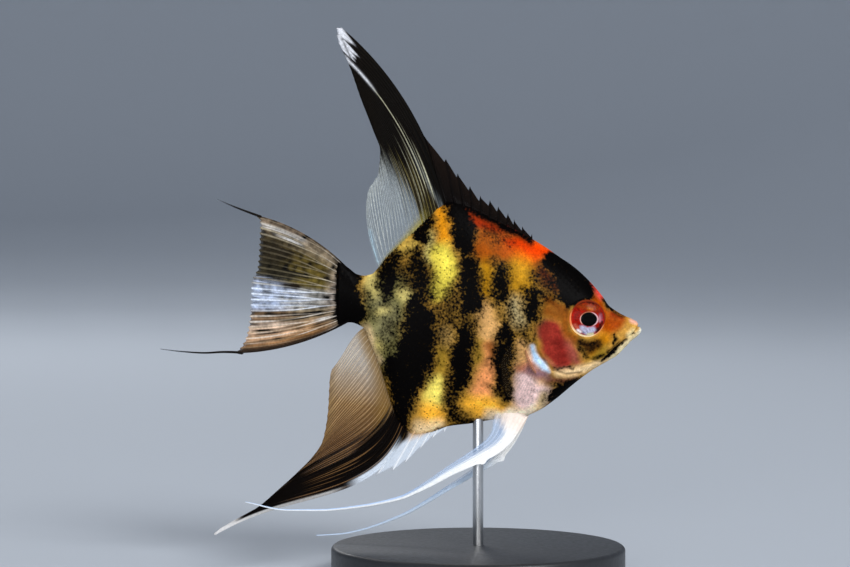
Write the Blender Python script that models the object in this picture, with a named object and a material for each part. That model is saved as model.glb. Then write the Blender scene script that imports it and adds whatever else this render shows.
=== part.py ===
"""A half-grown calico freshwater angelfish, still and life size, on a plain display stand.

X points from the tail to the snout, Y to the fish's left and Z up. The origin is the middle of the
underside of the stand's base. The fish's outlines are stated as a naturalist measures a fish: in
percent of its standard length, behind the snout and above it.
"""

from bisect import bisect_right
from math import cos, hypot, pi, radians, sin

import bmesh
import bpy
from mathutils import Matrix, Vector

# Driving sizes, in metres.
STANDARD_LENGTH = 0.045  # snout to the root of the tail fin
SNOUT_X = 0.0243
SNOUT_Z = 0.0366
GAP = 0.0003  # between neighbouring pieces
FIN_THICKNESS = 0.0005
FIN_ROOT_THICKNESS = 0.0009
BASE_RADIUS = 0.022
BASE_HEIGHT = 0.0045
BASE_BEVEL = 0.0008
ROD_RADIUS = 0.0008
ROD_FOOT = 0.0018  # height of the rod's lower end, inside the base
ROD_TOP = 0.0257  # height of its upper end, inside the belly
WIDE = 0.012  # half the width of a cutter that passes right through the fish

PERCENT = STANDARD_LENGTH / 100
GAP_PERCENT = GAP / PERCENT

# Outlines of the body: (percent behind the snout, percent above it).
BACK_LINE = (
    (-0.2, 1.0), (0.7, 2.6), (2.7, 4.1), (5, 5.1), (8.3, 7), (10.4, 8.6), (12, 11), (15, 14.7),
    (18.3, 18.2), (22.3, 21.7), (26.7, 24.7), (33.3, 29.2), (40, 32.9), (46.7, 36.4), (53.3, 39.9),
    (58.3, 42.4), (63.3, 43.9), (66.7, 42.2), (70, 39.3), (75, 34.4), (80, 29.7), (85, 24.6),
    (87.3, 21.2), (89.5, 19), (92, 18.5), (94.3, 19), (96.7, 20.8), (100.5, 23.6),
)  # fmt: skip
BELLY_LINE = (
    (-0.2, -0.6), (0.8, -1.6), (3.3, -3.6), (5, -5.3), (7.7, -8), (10, -9.7), (13.3, -11.6),
    (16.7, -13.7), (22.3, -18), (28.3, -23), (33.3, -26.4), (38, -28.3), (46.7, -29.3),
    (56.7, -31), (63.3, -31.8), (70, -34), (75, -34.7), (78.3, -33.4), (81, -29.5), (83.5, -23),
    (86.7, -12.3), (90, -4), (92.3, 1), (96.7, 2.7), (100.5, 1.4),
)  # fmt: skip
HALF_WIDTH = (
    (-0.2, 1.7), (1.5, 2.9), (6.7, 4.4), (12, 5.7), (17.7, 6.8), (31.7, 8.4), (46.7, 8.9),
    (63.3, 7.6), (80, 5.1), (91.7, 2.9), (100.5, 2.1),
)  # fmt: skip
STATIONS = 44  # sections along the body
RING = 20  # points around each section
SNOUT_SHARE = 1.35  # above 1, the sections crowd towards the snout
BACK_POWER = 1.45  # 1 is an ellipse, and more draws the back up to the dorsal fin
BELLY_POWER = 1.15

# Places on the body, in the same percent.
EYE = (18.4, 3.9)
EYE_RADIUS = 6.7  # of the whole ball, which shows 5.9 at the skin
EYE_DEPTH = 2.4
EYE_OUT = 5.5
EYE_YAW = radians(6)
JAW_LINE = (
    (-3, 2.4), (0.9, 1.4), (2.3, 0), (3.3, -1.7), (5.3, -4), (8, -6.3), (10.7, -8.5), (13, -12.5),
)  # fmt: skip
JAW_FAR = ((9, -16), (-3, -8))  # closes the jaw's cutter below the chin
HEAD_LINE = (
    (27, 32), (29.5, 25), (31, 17), (31.2, 12), (34.5, 7.2), (36.6, 2), (36.9, -2.6), (35.5, -7.2),
    (33, -10.8), (30.5, -14), (27.5, -18), (25.5, -26),
)  # fmt: skip
HEAD_FAR = ((-6, -26), (-6, 32))
GILL_COVER = (
    (29.7, 10.3), (33, 6.3), (35, 2), (35.3, -2.3), (34, -6.3), (31.7, -9.7), (29.3, -12.2),
    (25, -13.6), (20.6, -13.2), (18.6, -10), (20.7, -6.3), (24.3, -1.3), (26.6, 5.4), (27.9, 10),
)  # fmt: skip
COVER_CORE = 0.62  # the cover reaches in to this share of the head's half-width
RECESS_CORE = 0.5
STALK_START = 91.7
STALK_END = 100.2

# Fins. A fin is a fan of rays. Each ray runs from the body's edge to the margin, and bows forward.
# A margin's points run from the front ray's tip to the rear ray's. Bows are those of the front and
# rear rays, and the skew, which above 1 moves the bow towards the root.
DORSAL_BOWS = (5.7, 0, 1)
ANAL_BOWS = (-8.4, 0, 2.5)
TAIL_BOWS = (2.6, -5, 1)
# The stretches of the body's outline that carry the fins, in percent behind the snout.
DORSAL_SPINES_BASE = (35, 64.2)
DORSAL_RAYS_BASE = (66.1, 87.2)
ANAL_SPINES_BASE = (63.4, 78.6)
ANAL_RAYS_BASE = (79.4, 91.6)
TAIL_BASE = (23.2, 1.6)  # above the snout, at the stalk's end
SAW_NOTCH = 0.22  # how far the membrane drops behind each spine
DORSAL_LEAN = 1.6  # of the tip, to the fish's left
ANAL_LEAN = -1.4
TAIL_WAVE = 1.1
DORSAL_SPINES = (
    (36, 32.3), (39.2, 34.8), (42, 37.2), (44, 39.2), (47.2, 41.5), (50, 43.6), (53.2, 45),
    (56.7, 48.3), (60.8, 52.5), (64.7, 57.3), (71.9, 65),
)  # fmt: skip
DORSAL_MARGIN = (
    (100, 102), (101.3, 101), (101, 97.7), (99, 93), (96.7, 87.7), (93.3, 78), (89, 67),
    (86.7, 60.3), (87.3, 53), (91, 46.5), (91.2, 37), (90.3, 29), (89, 23),
)  # fmt: skip
ANAL_SPINES = ((65.3, -33.9), (69.3, -35.9), (73.3, -39.3), (78.3, -44), (82.5, -46.7), (88, -48.4))
ANAL_MARGIN = (
    (142.5, -68.5), (142.2, -67.7), (131.5, -61.5), (126.7, -58.2), (120.7, -53), (115.7, -48.6),
    (110, -43), (105.7, -36.3), (104, -26.3), (103.3, -16.3), (102.3, -11.7), (100, -8),
    (96.7, -4.7), (93.7, -1.2),
)  # fmt: skip
TAIL_MARGIN = (
    (141, 44.3), (140.8, 43.1), (134.8, 40.9), (128.2, 38), (126.8, 36.3), (127, 30.3),
    (127.7, 21), (129.7, 16), (130, 7), (131, -0.7), (133, -5.4), (138.3, -6.5), (145, -6.7),
    (152, -6.3), (160, -5.4), (160, -6.6),
)  # fmt: skip
# A pelvic fin's middle line, and its width at each of the line's first points.
RIGHT_PELVIC = (
    (42.6, -30), (45.3, -34.5), (49, -38), (52.7, -40.3), (56.7, -42.5), (63.3, -46), (70, -50),
    (75, -52.8), (80, -55), (93.3, -57.8), (106.7, -59), (116.7, -59), (131, -56.3),
)  # fmt: skip
RIGHT_PELVIC_WIDTHS = (7.4, 6.4, 6, 5.4, 4.6, 3.4, 2.5, 1.7, 1.3, 1.15)
LEFT_PELVIC = (
    (41, -30), (43.3, -35), (46.7, -40.3), (50.3, -44), (54, -46.7), (60, -50.7), (65, -53.8),
    (71.7, -58), (78.3, -61.7), (83.3, -63.8), (88.3, -65.7), (93.3, -67.2), (100, -68.5),
    (108.3, -69),
)  # fmt: skip
LEFT_PELVIC_WIDTHS = (6, 5.6, 5, 3.6, 2.6, 2, 1.6, 1.3, 1.15)
PELVIC_SIDE = 2.4  # how far to the side a pelvic fin is rooted
PELVIC_FLARE = 4.2  # how much further out its first third runs
PECTORAL_ROOT = ((38.3, -6.5), (35, -13))
PECTORAL_MARGIN = ((43.3, -3.7), (46.7, -10.3), (46, -18), (41.7, -23.4), (36, -24.4))
PECTORAL_CLEAR = 1.6  # from the skin to the middle of the fin's root
PECTORAL_FLARE = 3.2


def smooth(knots, values):
    """A smooth function that passes through the values at the knots and doesn't overshoot them."""
    slopes = [
        (after - before) / (right - left)
        for left, right, before, after in zip(knots, knots[1:], values, values[1:])
    ]

    def tangent(index):
        if index in (0, len(slopes)):
            return slopes[min(index, len(slopes) - 1)]
        left, right = slopes[index - 1], slopes[index]
        return 2 * left * right / (left + right) if left * right > 0 else 0.0

    def value(x):
        x = min(max(x, knots[0]), knots[-1])
        index = min(bisect_right(knots, x) - 1, len(slopes) - 1)
        span = knots[index + 1] - knots[index]
        f = (x - knots[index]) / span
        rise = values[index + 1] - values[index]
        start = tangent(index) * span
        end = tangent(index + 1) * span
        return values[index] + f * (start + f * (3 * rise - 2 * start - end + f * (start + end - 2 * rise)))

    return value


back_line = smooth(*zip(*BACK_LINE))
belly_line = smooth(*zip(*BELLY_LINE))
half_width = smooth(*zip(*HALF_WIDTH))


def path_knots(points, even=False):
    """Where each point lies along the path, from 0 to 1: by distance, or evenly."""
    if even:
        return [i / (len(points) - 1) for i in range(len(points))]
    lengths = [0.0]
    for a, b in zip(points, points[1:]):
        lengths.append(lengths[-1] + hypot(b[0] - a[0], b[1] - a[1]))
    return [length / lengths[-1] for length in lengths]


def path(points, even=False):
    """A smooth path through the points, as a function of 0 to 1."""
    knots = path_knots(points, even)
    backs = smooth(knots, [p[0] for p in points])
    ups = smooth(knots, [p[1] for p in points])
    return lambda s: Vector((backs(s), ups(s)))


def place(back, up, side=0.0):
    """The point in metres for percent behind the snout, above it and to the fish's left."""
    return Vector((SNOUT_X - back * PERCENT, side * PERCENT, SNOUT_Z + up * PERCENT))


def thickness_power(cosine):
    return BACK_POWER if cosine > 0 else BELLY_POWER


def skin_side(back, up):
    """Half the body's thickness at this place, in percent."""
    top = back_line(back)
    bottom = belly_line(back)
    cosine = (2 * up - top - bottom) / (top - bottom)
    return half_width(back) * max(1 - cosine * cosine, 0.0) ** (thickness_power(cosine) / 2)


def edge_path(line, start, end, lift, count=24):
    """The path along a body outline from start to end, lifted outwards by lift percent."""
    outwards = 1 if line is back_line else -1
    points = []
    for i in range(count + 1):
        back = start + (end - start) * i / count
        slope = (line(back + 0.1) - line(back - 0.1)) / 0.2
        normal = Vector((-slope, 1)).normalized() * outwards
        points.append((back + normal.x * lift, line(back) + normal.y * lift))
    return path(points)


# Building.


def clear_scene():
    for obj in list(bpy.data.objects):
        bpy.data.objects.remove(obj)


def material(name, colour, roughness, metallic=0.0):
    made = bpy.data.materials.new(name)
    made.use_nodes = True
    shader = made.node_tree.nodes["Principled BSDF"]
    shader.inputs["Base Color"].default_value = (*colour, 1)
    shader.inputs["Roughness"].default_value = roughness
    shader.inputs["Metallic"].default_value = metallic
    made.diffuse_color = (*colour, 1)
    return made


def add_object(name, bm, finish=None, smooth_shaded=True):
    """A new object from a bmesh, or from a mesh that another object shares."""
    mesh = bm
    if isinstance(bm, bmesh.types.BMesh):
        bmesh.ops.recalc_face_normals(bm, faces=bm.faces)
        mesh = bpy.data.meshes.new(name)
        bm.to_mesh(mesh)
        bm.free()
    obj = bpy.data.objects.new(name, mesh)
    bpy.context.scene.collection.objects.link(obj)
    if finish:
        if not mesh.materials:
            mesh.materials.append(None)
        obj.material_slots[0].link = "OBJECT"
        obj.material_slots[0].material = finish
    if smooth_shaded and finish:
        mesh.shade_smooth()
        mesh.set_sharp_from_angle(angle=radians(50))
    return obj


def as_cutter(obj):
    obj.hide_render = True
    obj.display_type = "WIRE"
    return obj


def boolean(obj, cutter, operation="DIFFERENCE"):
    modifier = obj.modifiers.new(cutter.name, "BOOLEAN")
    modifier.operation = operation
    modifier.object = cutter


def body_mesh(name, core=1.0):
    """The whole body as one closed mesh. A core below 1 narrows it towards its middle plane."""
    bm = bmesh.new()
    first, last = BACK_LINE[0][0], BACK_LINE[-1][0]
    rings = []
    for i in range(STATIONS + 1):
        back = first + (last - first) * (i / STATIONS) ** SNOUT_SHARE
        top = back_line(back)
        bottom = belly_line(back)
        ring = bmesh.ops.create_circle(bm, segments=RING, radius=1)["verts"]
        for j, vert in enumerate(ring):
            turn = 2 * pi * j / RING
            width = half_width(back) * core * abs(sin(turn)) ** thickness_power(cos(turn))
            side = width if sin(turn) > 0 else -width
            vert.co = place(back, (top + bottom) / 2 + (top - bottom) / 2 * cos(turn), side)
        rings.append(edges_between(ring))
    for near, far in zip(rings, rings[1:]):
        bmesh.ops.bridge_loops(bm, edges=near + far)
    bmesh.ops.contextual_create(bm, geom=rings[0])
    bmesh.ops.contextual_create(bm, geom=rings[-1])
    bmesh.ops.recalc_face_normals(bm, faces=bm.faces)
    mesh = bpy.data.meshes.new(name)
    bm.to_mesh(mesh)
    bm.free()
    return mesh


def edges_between(verts):
    chosen = set(verts)
    return list({edge for vert in verts for edge in vert.link_edges if set(edge.verts) <= chosen})


def grown(outline, by):
    """A closed outline moved outwards by this many percent."""
    count = len(outline)
    area = sum(
        outline[i - 1][0] * outline[i][1] - outline[i][0] * outline[i - 1][1] for i in range(count)
    )
    turned = 1 if area > 0 else -1
    moved = []
    for i in range(count):
        before = (Vector(outline[i]) - Vector(outline[i - 1])).normalized()
        after = (Vector(outline[(i + 1) % count]) - Vector(outline[i])).normalized()
        along = (before + after).normalized()
        out = Vector((along.y, -along.x)) * turned
        moved.append(Vector(outline[i]) + out * by / max(along.dot(before), 0.5))
    return moved


def round_outline(points, steps=3):
    """A closed smooth outline through the points, with steps stretches between neighbours."""
    count = len(points)
    looped = path(list(points[-2:]) + list(points) + list(points[:3]))
    knots = path_knots(list(points[-2:]) + list(points) + list(points[:3]))
    outline = []
    for i in range(count):
        for j in range(steps):
            outline.append(looped(knots[i + 2] + (knots[i + 3] - knots[i + 2]) * j / steps))
    return outline


def prism(name, outline, low=-WIDE, high=WIDE):
    """A cutter: an outline in percent, drawn out across the fish from low to high."""
    bm = bmesh.new()
    corners = []
    for back, up in outline:
        corner = place(back, up)
        corner.y = low
        corners.append(bm.verts.new(corner))
    face = bm.faces.new(corners)
    drawn = bmesh.ops.extrude_face_region(bm, geom=[face], use_keep_orig=True)
    moved = [item for item in drawn["geom"] if isinstance(item, bmesh.types.BMVert)]
    bmesh.ops.translate(bm, verts=moved, vec=(0, high - low, 0))
    return as_cutter(add_object(name, bm))


def ellipsoid(name, centre, radii, yaw, finish=None):
    bm = bmesh.new()
    bmesh.ops.create_uvsphere(bm, u_segments=16, v_segments=10, radius=1)
    upright = Matrix.Rotation(pi / 2, 4, "X")
    size = Matrix.Diagonal((*radii, 1))
    turn = Matrix.Rotation(yaw, 4, "Z")
    bmesh.ops.transform(bm, matrix=Matrix.Translation(centre) @ turn @ size @ upright, verts=bm.verts)
    return add_object(name, bm, finish)


def sheet(name, rows, columns, spot, thickness, finish):
    """A closed sheet. spot(s, t) gives its middle at each pair of the rows' and columns' values."""
    bm = bmesh.new()
    half = bm.verts.layers.float.new("half")
    bmesh.ops.create_grid(bm, x_segments=len(rows) - 1, y_segments=len(columns) - 1, size=1)
    for vert in bm.verts:
        s = rows[round((vert.co.x + 1) / 2 * (len(rows) - 1))]
        t = columns[round((vert.co.y + 1) / 2 * (len(columns) - 1))]
        vert.co = spot(s, t)
        vert[half] = thickness(t) / 2
    near = bm.verts[:]
    drawn = bmesh.ops.extrude_face_region(bm, geom=bm.faces[:], use_keep_orig=True)
    far = [item for item in drawn["geom"] if isinstance(item, bmesh.types.BMVert)]
    for vert in near:
        vert.co.y -= vert[half]
    for vert in far:
        vert.co.y += vert[half]
    return add_object(name, bm, finish)


def fin_thickness(t):
    """A fin's thickness along a ray: thick at the root, even from a quarter of the way."""
    return FIN_THICKNESS + (FIN_ROOT_THICKNESS - FIN_THICKNESS) * max(1 - 4 * t, 0.0)


def evenly(count):
    return [i / count for i in range(count + 1)]


def margin_steps(points, longest):
    """Values of 0 to 1 along a margin: each of its points, and more where they lie far apart."""
    knots = path_knots(points)
    length = sum(hypot(b[0] - a[0], b[1] - a[1]) for a, b in zip(points, points[1:]))
    steps = [0.0]
    for start, end in zip(knots, knots[1:]):
        parts = max(1, round((end - start) * length / longest))
        steps += [start + (end - start) * (i + 1) / parts for i in range(parts)]
    return steps


def fan(root, margin, front_bow, rear_bow, skew, sway):
    """The place function of a fan fin.

    sway(s, t) is how far the fin leans to the fish's left, in percent.
    """
    peak = (1 / (1 + skew)) * (skew / (1 + skew)) ** skew

    def spot(s, t):
        start = root(s)
        tip = margin(s)
        ray = (tip - start).normalized()
        bow = front_bow + (rear_bow - front_bow) * s
        across = Vector((-ray.y, ray.x))
        middle = start + (tip - start) * t + across * bow * t * (1 - t) ** skew / peak
        return place(middle.x, middle.y, sway(s, t))

    return spot


def spine_margin(tips):
    """The saw edge of a spiny fin: full height at each spine, and lower just behind it."""
    count = len(tips) - 1
    edge = path(tips, even=True)

    def height(s):
        behind = s * count % 1
        return 1 - SAW_NOTCH * min(behind * 5, 1 - behind)

    return edge, height


def spiny_fin(name, tips, line, base, finish):
    """A row of spines joined by membrane, on the body's edge."""
    root = edge_path(line, *base, GAP_PERCENT)
    edge, height = spine_margin(tips)
    count = len(tips) - 1

    def spot(s, t):
        foot = root(s)
        point = foot + (edge(s) - foot) * t * height(s)
        return place(point.x, point.y)

    rows = [(i + part) / count for i in range(count) for part in (0, 0.2)] + [1.0]
    return sheet(name, rows, evenly(3), spot, fin_thickness, finish)


def up_to_belly(point, ahead):
    """Where a fin's edge that runs ahead from this point would leave the belly's outline."""
    for _ in range(4):
        point = point + ahead * (belly_line(point.x) - point.y) / ahead.y
    return point


def ribbon(name, centre, widths, side, finish):
    """A pelvic fin: a blade that narrows into a long filament. Side is -1 for right, 1 for left."""
    line = path(centre)
    knots = path_knots(centre)
    width = smooth([*knots[: len(widths)], 1.0], [*widths, widths[-1]])

    def spot(s, t):
        ahead = (line(min(t + 0.004, 1)) - line(max(t - 0.004, 0))).normalized()
        middle = line(t) + Vector((-ahead.y, ahead.x)) * (s - 0.5) * width(t)
        if t == 0:
            middle = up_to_belly(middle, ahead)
        return place(middle.x, middle.y, side * (PELVIC_SIDE + PELVIC_FLARE * min(t * 3, 1)))

    return sheet(name, evenly(2), evenly(26), spot, lambda t: FIN_THICKNESS, finish)


# The parts.


def make_body(colours):
    whole = body_mesh("body_form")
    core = as_cutter(add_object("cover_core", body_mesh("cover_core", COVER_CORE)))
    deep_core = as_cutter(add_object("recess_core", body_mesh("recess_core", RECESS_CORE)))

    head_outline = [path(HEAD_LINE)(s) for s in evenly(28)] + [Vector(p) for p in HEAD_FAR]
    jaw_outline = [path(JAW_LINE)(s) for s in evenly(16)] + [Vector(p) for p in JAW_FAR]
    stalk_outline = [(STALK_START, -50), (STALK_START, 50), (STALK_END, 50), (STALK_END, -50)]

    head = add_object("head", whole, colours["head"])
    boolean(head, prism("head_region", head_outline), "INTERSECT")
    boolean(head, prism("jaw_clearance", grown(jaw_outline, GAP_PERCENT)))

    jaw = add_object("lower_jaw", whole, colours["jaw"])
    boolean(jaw, prism("jaw_region", jaw_outline), "INTERSECT")

    trunk = add_object("trunk", whole, colours["trunk"])
    boolean(trunk, prism("head_clearance", grown(head_outline, GAP_PERCENT)))
    boolean(trunk, prism("stalk_clearance", grown(stalk_outline, GAP_PERCENT)))
    boolean(trunk, cylinder("belly_socket", ROD_RADIUS + GAP, BASE_HEIGHT, ROD_TOP + GAP))

    stalk = add_object("tail_stalk", whole, colours["stalk"])
    boolean(stalk, prism("stalk_region", stalk_outline), "INTERSECT")

    cover_outline = round_outline(GILL_COVER)
    for name, side in (("right", -1), ("left", 1)):
        low, high = sorted((side * PERCENT * 0.4, side * WIDE))
        cover = add_object("gill_cover_" + name, whole, colours["cover"])
        boolean(cover, prism("cover_region_" + name, cover_outline, low, high), "INTERSECT")
        boolean(cover, core)
        recess = prism("cover_recess_" + name, grown(cover_outline, GAP_PERCENT), low, high)
        boolean(recess, deep_core)
        boolean(head, recess)
        make_eye(name, side, head, colours["eye"])


def make_eye(name, side, head, finish):
    centre = place(*EYE, side * EYE_OUT)
    radii = [EYE_RADIUS * PERCENT, EYE_DEPTH * PERCENT, EYE_RADIUS * PERCENT]
    ellipsoid("eye_" + name, centre, radii, -side * EYE_YAW, finish)
    socket = ellipsoid("socket_" + name, centre, [r + GAP for r in radii], -side * EYE_YAW)
    boolean(head, as_cutter(socket))


def lean(amount):
    """A fin that leans to one side, more towards its tips."""
    return lambda s, t: amount * t * t


def wave(amount):
    """A fin that waves from side to side, more towards its tips."""
    return lambda s, t: amount * t * sin(1.5 * pi * s)


def soft_fin(name, root, margin, bows, sway, longest, finish):
    """A fan fin of soft rays, with rows at most about longest percent apart along its margin."""
    spot = fan(root, path(margin), *bows, sway)
    return sheet(name, margin_steps(margin, longest), evenly(9), spot, fin_thickness, finish)


def make_unpaired_fins(colours):
    spiny_fin("dorsal_fin_spines", DORSAL_SPINES, back_line, DORSAL_SPINES_BASE, colours["dorsal"])
    spiny_fin("anal_fin_spines", ANAL_SPINES, belly_line, ANAL_SPINES_BASE, colours["anal"])

    root = edge_path(back_line, *DORSAL_RAYS_BASE, GAP_PERCENT)
    soft_fin("dorsal_fin_rays", root, DORSAL_MARGIN, DORSAL_BOWS, lean(DORSAL_LEAN), 9, colours["dorsal"])
    root = edge_path(belly_line, *ANAL_RAYS_BASE, GAP_PERCENT)
    soft_fin("anal_fin_rays", root, ANAL_MARGIN, ANAL_BOWS, lean(ANAL_LEAN), 9, colours["anal"])
    behind_stalk = STALK_END + GAP_PERCENT
    root = path([(behind_stalk, up) for up in TAIL_BASE])
    soft_fin("tail_fin", root, TAIL_MARGIN, TAIL_BOWS, wave(TAIL_WAVE), 6, colours["tail"])


def make_paired_fins(colours):
    ribbon("pelvic_fin_right", RIGHT_PELVIC, RIGHT_PELVIC_WIDTHS, -1, colours["pelvic"])
    ribbon("pelvic_fin_left", LEFT_PELVIC, LEFT_PELVIC_WIDTHS, 1, colours["pelvic"])
    root = path(PECTORAL_ROOT)
    margin = path(PECTORAL_MARGIN)
    for name, side in (("right", -1), ("left", 1)):

        def spot(s, t, side=side):
            point = root(s) + (margin(s) - root(s)) * t
            out = skin_side(point.x, point.y) + PECTORAL_CLEAR + PECTORAL_FLARE * t * t
            return place(point.x, point.y, side * out)

        name = "pectoral_fin_" + name
        sheet(name, evenly(6), evenly(4), spot, lambda t: FIN_THICKNESS, colours["pectoral"])


def cylinder(name, radius, low, high, finish=None, segments=20):
    bm = bmesh.new()
    middle = Matrix.Translation((0, 0, (low + high) / 2))
    bmesh.ops.create_cone(
        bm, cap_ends=True, segments=segments, radius1=radius, radius2=radius, depth=high - low, matrix=middle
    )
    obj = add_object(name, bm, finish)
    return obj if finish else as_cutter(obj)


def make_stand(colours):
    base = cylinder("stand_base", BASE_RADIUS, 0, BASE_HEIGHT, colours["base"], segments=64)
    bevel = base.modifiers.new("edge", "BEVEL")
    bevel.width = BASE_BEVEL
    bevel.segments = 3
    bevel.limit_method = "ANGLE"
    boolean(base, cylinder("base_socket", ROD_RADIUS + GAP, ROD_FOOT - GAP, BASE_HEIGHT * 2))
    cylinder("stand_rod", ROD_RADIUS, ROD_FOOT, ROD_TOP, colours["rod"])


def main():
    clear_scene()
    colours = {
        "head": material("orange_head_skin", (0.42, 0.16, 0.03), 0.35),
        "jaw": material("cream_jaw_skin", (0.62, 0.5, 0.25), 0.35),
        "cover": material("red_gill_cover", (0.36, 0.07, 0.04), 0.3),
        "trunk": material("calico_scales", (0.5, 0.3, 0.05), 0.35),
        "stalk": material("dark_scales", (0.03, 0.025, 0.015), 0.35),
        "eye": material("eye", (0.35, 0.06, 0.03), 0.1),
        "dorsal": material("dark_dorsal_fin", (0.04, 0.035, 0.025), 0.4),
        "anal": material("brown_anal_fin", (0.12, 0.08, 0.045), 0.4),
        "tail": material("smoky_tail_fin", (0.2, 0.17, 0.11), 0.4),
        "pelvic": material("white_pelvic_fin", (0.8, 0.82, 0.85), 0.4),
        "pectoral": material("clear_pectoral_fin", (0.6, 0.58, 0.55), 0.3),
        "base": material("satin_black_paint", (0.02, 0.02, 0.02), 0.4),
        "rod": material("brushed_steel", (0.6, 0.6, 0.6), 0.3, 1.0),
    }
    make_body(colours)
    make_unpaired_fins(colours)
    make_paired_fins(colours)
    make_stand(colours)


main()
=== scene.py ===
"""Looks for a half-grown calico freshwater angelfish on its display stand.

Lengths on the fish are in percent of its standard length, behind the snout and above it, as in the
part's own source. The skin, its scales, the eyes and the fins each replace the plain solids.
"""

from math import pi, radians

import bmesh
import bpy
import numpy as np
from bpy.props import FloatProperty, FloatVectorProperty, IntProperty, PointerProperty
from bpy.types import NodeSocket, Operator, Panel, PropertyGroup
from mathutils import Matrix, Vector, noise


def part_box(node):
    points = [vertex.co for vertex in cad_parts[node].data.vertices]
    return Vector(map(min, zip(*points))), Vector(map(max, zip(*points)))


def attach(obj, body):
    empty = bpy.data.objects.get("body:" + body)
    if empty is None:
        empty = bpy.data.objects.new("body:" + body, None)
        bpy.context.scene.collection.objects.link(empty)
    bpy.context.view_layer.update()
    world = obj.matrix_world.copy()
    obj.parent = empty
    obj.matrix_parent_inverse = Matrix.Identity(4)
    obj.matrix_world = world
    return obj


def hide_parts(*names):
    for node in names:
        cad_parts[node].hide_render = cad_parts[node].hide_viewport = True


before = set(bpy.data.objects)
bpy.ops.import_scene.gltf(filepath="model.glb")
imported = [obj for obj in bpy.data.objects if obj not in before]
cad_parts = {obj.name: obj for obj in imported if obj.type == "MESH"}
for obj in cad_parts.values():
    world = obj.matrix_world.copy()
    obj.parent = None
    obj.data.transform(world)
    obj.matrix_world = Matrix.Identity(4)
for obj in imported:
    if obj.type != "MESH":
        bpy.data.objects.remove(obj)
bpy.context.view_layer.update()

bl_info = {
    "name": "Freshwater angelfish model",
    "version": (1, 0, 0),
    "blender": (4, 5, 0),
    "location": "3D View > Sidebar > Angelfish",
    "description": "Skin, scales, eyes, fins and stand of a life-size angelfish model",
    "category": "Add Mesh",
}

# The body's own sizes.
STANDARD_LENGTH = 0.045
SNOUT_X = 0.0243
SNOUT_Z = 0.0366
PERCENT = STANDARD_LENGTH / 100

BACK_LINE = (
    (-0.2, 1.0), (0.7, 2.6), (2.7, 4.1), (5, 5.1), (8.3, 7), (10.4, 8.6), (12, 11), (15, 14.7),
    (18.3, 18.2), (22.3, 21.7), (26.7, 24.7), (33.3, 29.2), (40, 32.9), (46.7, 36.4), (53.3, 39.9),
    (58.3, 42.4), (63.3, 43.9), (66.7, 42.2), (70, 39.3), (75, 34.4), (80, 29.7), (85, 24.6),
    (87.3, 21.2), (89.5, 19), (92, 18.5), (94.3, 19), (96.7, 20.8), (100.5, 23.6),
)  # fmt: skip
BELLY_LINE = (
    (-0.2, -0.6), (0.8, -1.6), (3.3, -3.6), (5, -5.3), (7.7, -8), (10, -9.7), (13.3, -11.6),
    (16.7, -13.7), (22.3, -18), (28.3, -23), (33.3, -26.4), (38, -28.3), (46.7, -29.3),
    (56.7, -31), (63.3, -31.8), (70, -34), (75, -34.7), (78.3, -33.4), (81, -29.5), (83.5, -23),
    (86.7, -12.3), (90, -4), (92.3, 1), (96.7, 2.7), (100.5, 1.4),
)  # fmt: skip
HALF_WIDTH = (
    (-0.2, 1.7), (1.5, 2.9), (6.7, 4.4), (12, 5.7), (17.7, 6.8), (31.7, 8.4), (46.7, 8.9),
    (63.3, 7.6), (80, 5.1), (91.7, 2.9), (100.5, 2.1),
)  # fmt: skip
BACK_POWER = 1.45
BELLY_POWER = 1.15
EYE = (18.4, 3.9)
EYE_DEPTH = 2.4
EYE_OUT = 5.5
EYE_BALL = 6.55
EYE_YAW = radians(6)
EYE_STEPS = (120, 110)
PUPIL_MIDDLE = (0.75, 0.1)
PUPIL_HALF = (2.72, 2.3)
GILL_EDGE = (
    (29.7, 10.3), (33, 6.3), (35, 2), (35.3, -2.3), (34, -6.3), (31.7, -9.7), (29.3, -12.2),
    (25, -13.6), (20.6, -13.2),
)  # fmt: skip

NOSTRIL = (9.9, 4.6)

# Relief of the skin: how far its large forms stand out or sink in, and its folds, each as its
# height, its width and the line that it follows.
EYE_RING = 0.26
EYE_SOCKET = 1.9
COVER_BULGE = 0.45
GILL_SLIT = 0.62
FOLDS = (
    # two lips, and the slit of the mouth between them
    (0.2, 0.6, (1.4, 3.0), (2.0, 1.9), (2.6, 0.6), (3.2, -0.6)),
    (0.2, 0.6, (0.3, 0.6), (0.5, -0.8), (1.6, -1.9), (3.0, -2.8)),
    (-0.7, 0.3, (-0.2, 2.2), (0.7, 1.5), (1.4, 0.4), (2.4, -0.9)),
    # folds that run back along the lower jaw, and the one before the cheek
    (-0.45, 0.42, (4.8, -2.9), (7.2, -4.8), (9.6, -7.1), (11.4, -8.8)),
    (-0.18, 0.35, (3.0, -1.4), (5.2, -2.4), (8.6, -5.2), (10, -7)),
    (0.3, 1.1, (3.8, -4.6), (5.6, -6.6), (8, -8.8)),
    (-0.2, 0.4, (6.2, 3.4), (7.0, 0.6), (8.8, -1.5), (9.2, -4.4)),
    # the fold before the gill cover
    (-0.26, 0.5, (25.4, 8), (25.2, 2), (24.0, -2.5), (21.4, -6), (18, -9.2), (13.5, -10.8)),
    (0.22, 0.9, (21.6, -3.2), (18.6, -6.6), (14, -8.6)),
    # the cover's free edge, a thin lip, and the fold under the cover
    (0.26, 0.6, *GILL_EDGE),
    (-0.16, 0.3, (30, -11.6), (25, -12.2), (20, -11.8), (15.5, -10.7)),
    # shoulder behind the gills, and the lateral line's upper arch
    (0.2, 0.8, (36.8, -3.6), (35.4, -8.4), (32.4, -12.6)),
    (-0.05, 0.35, (37, 11), (45, 18), (58, 24), (70, 24), (80, 20)),
)

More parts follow.
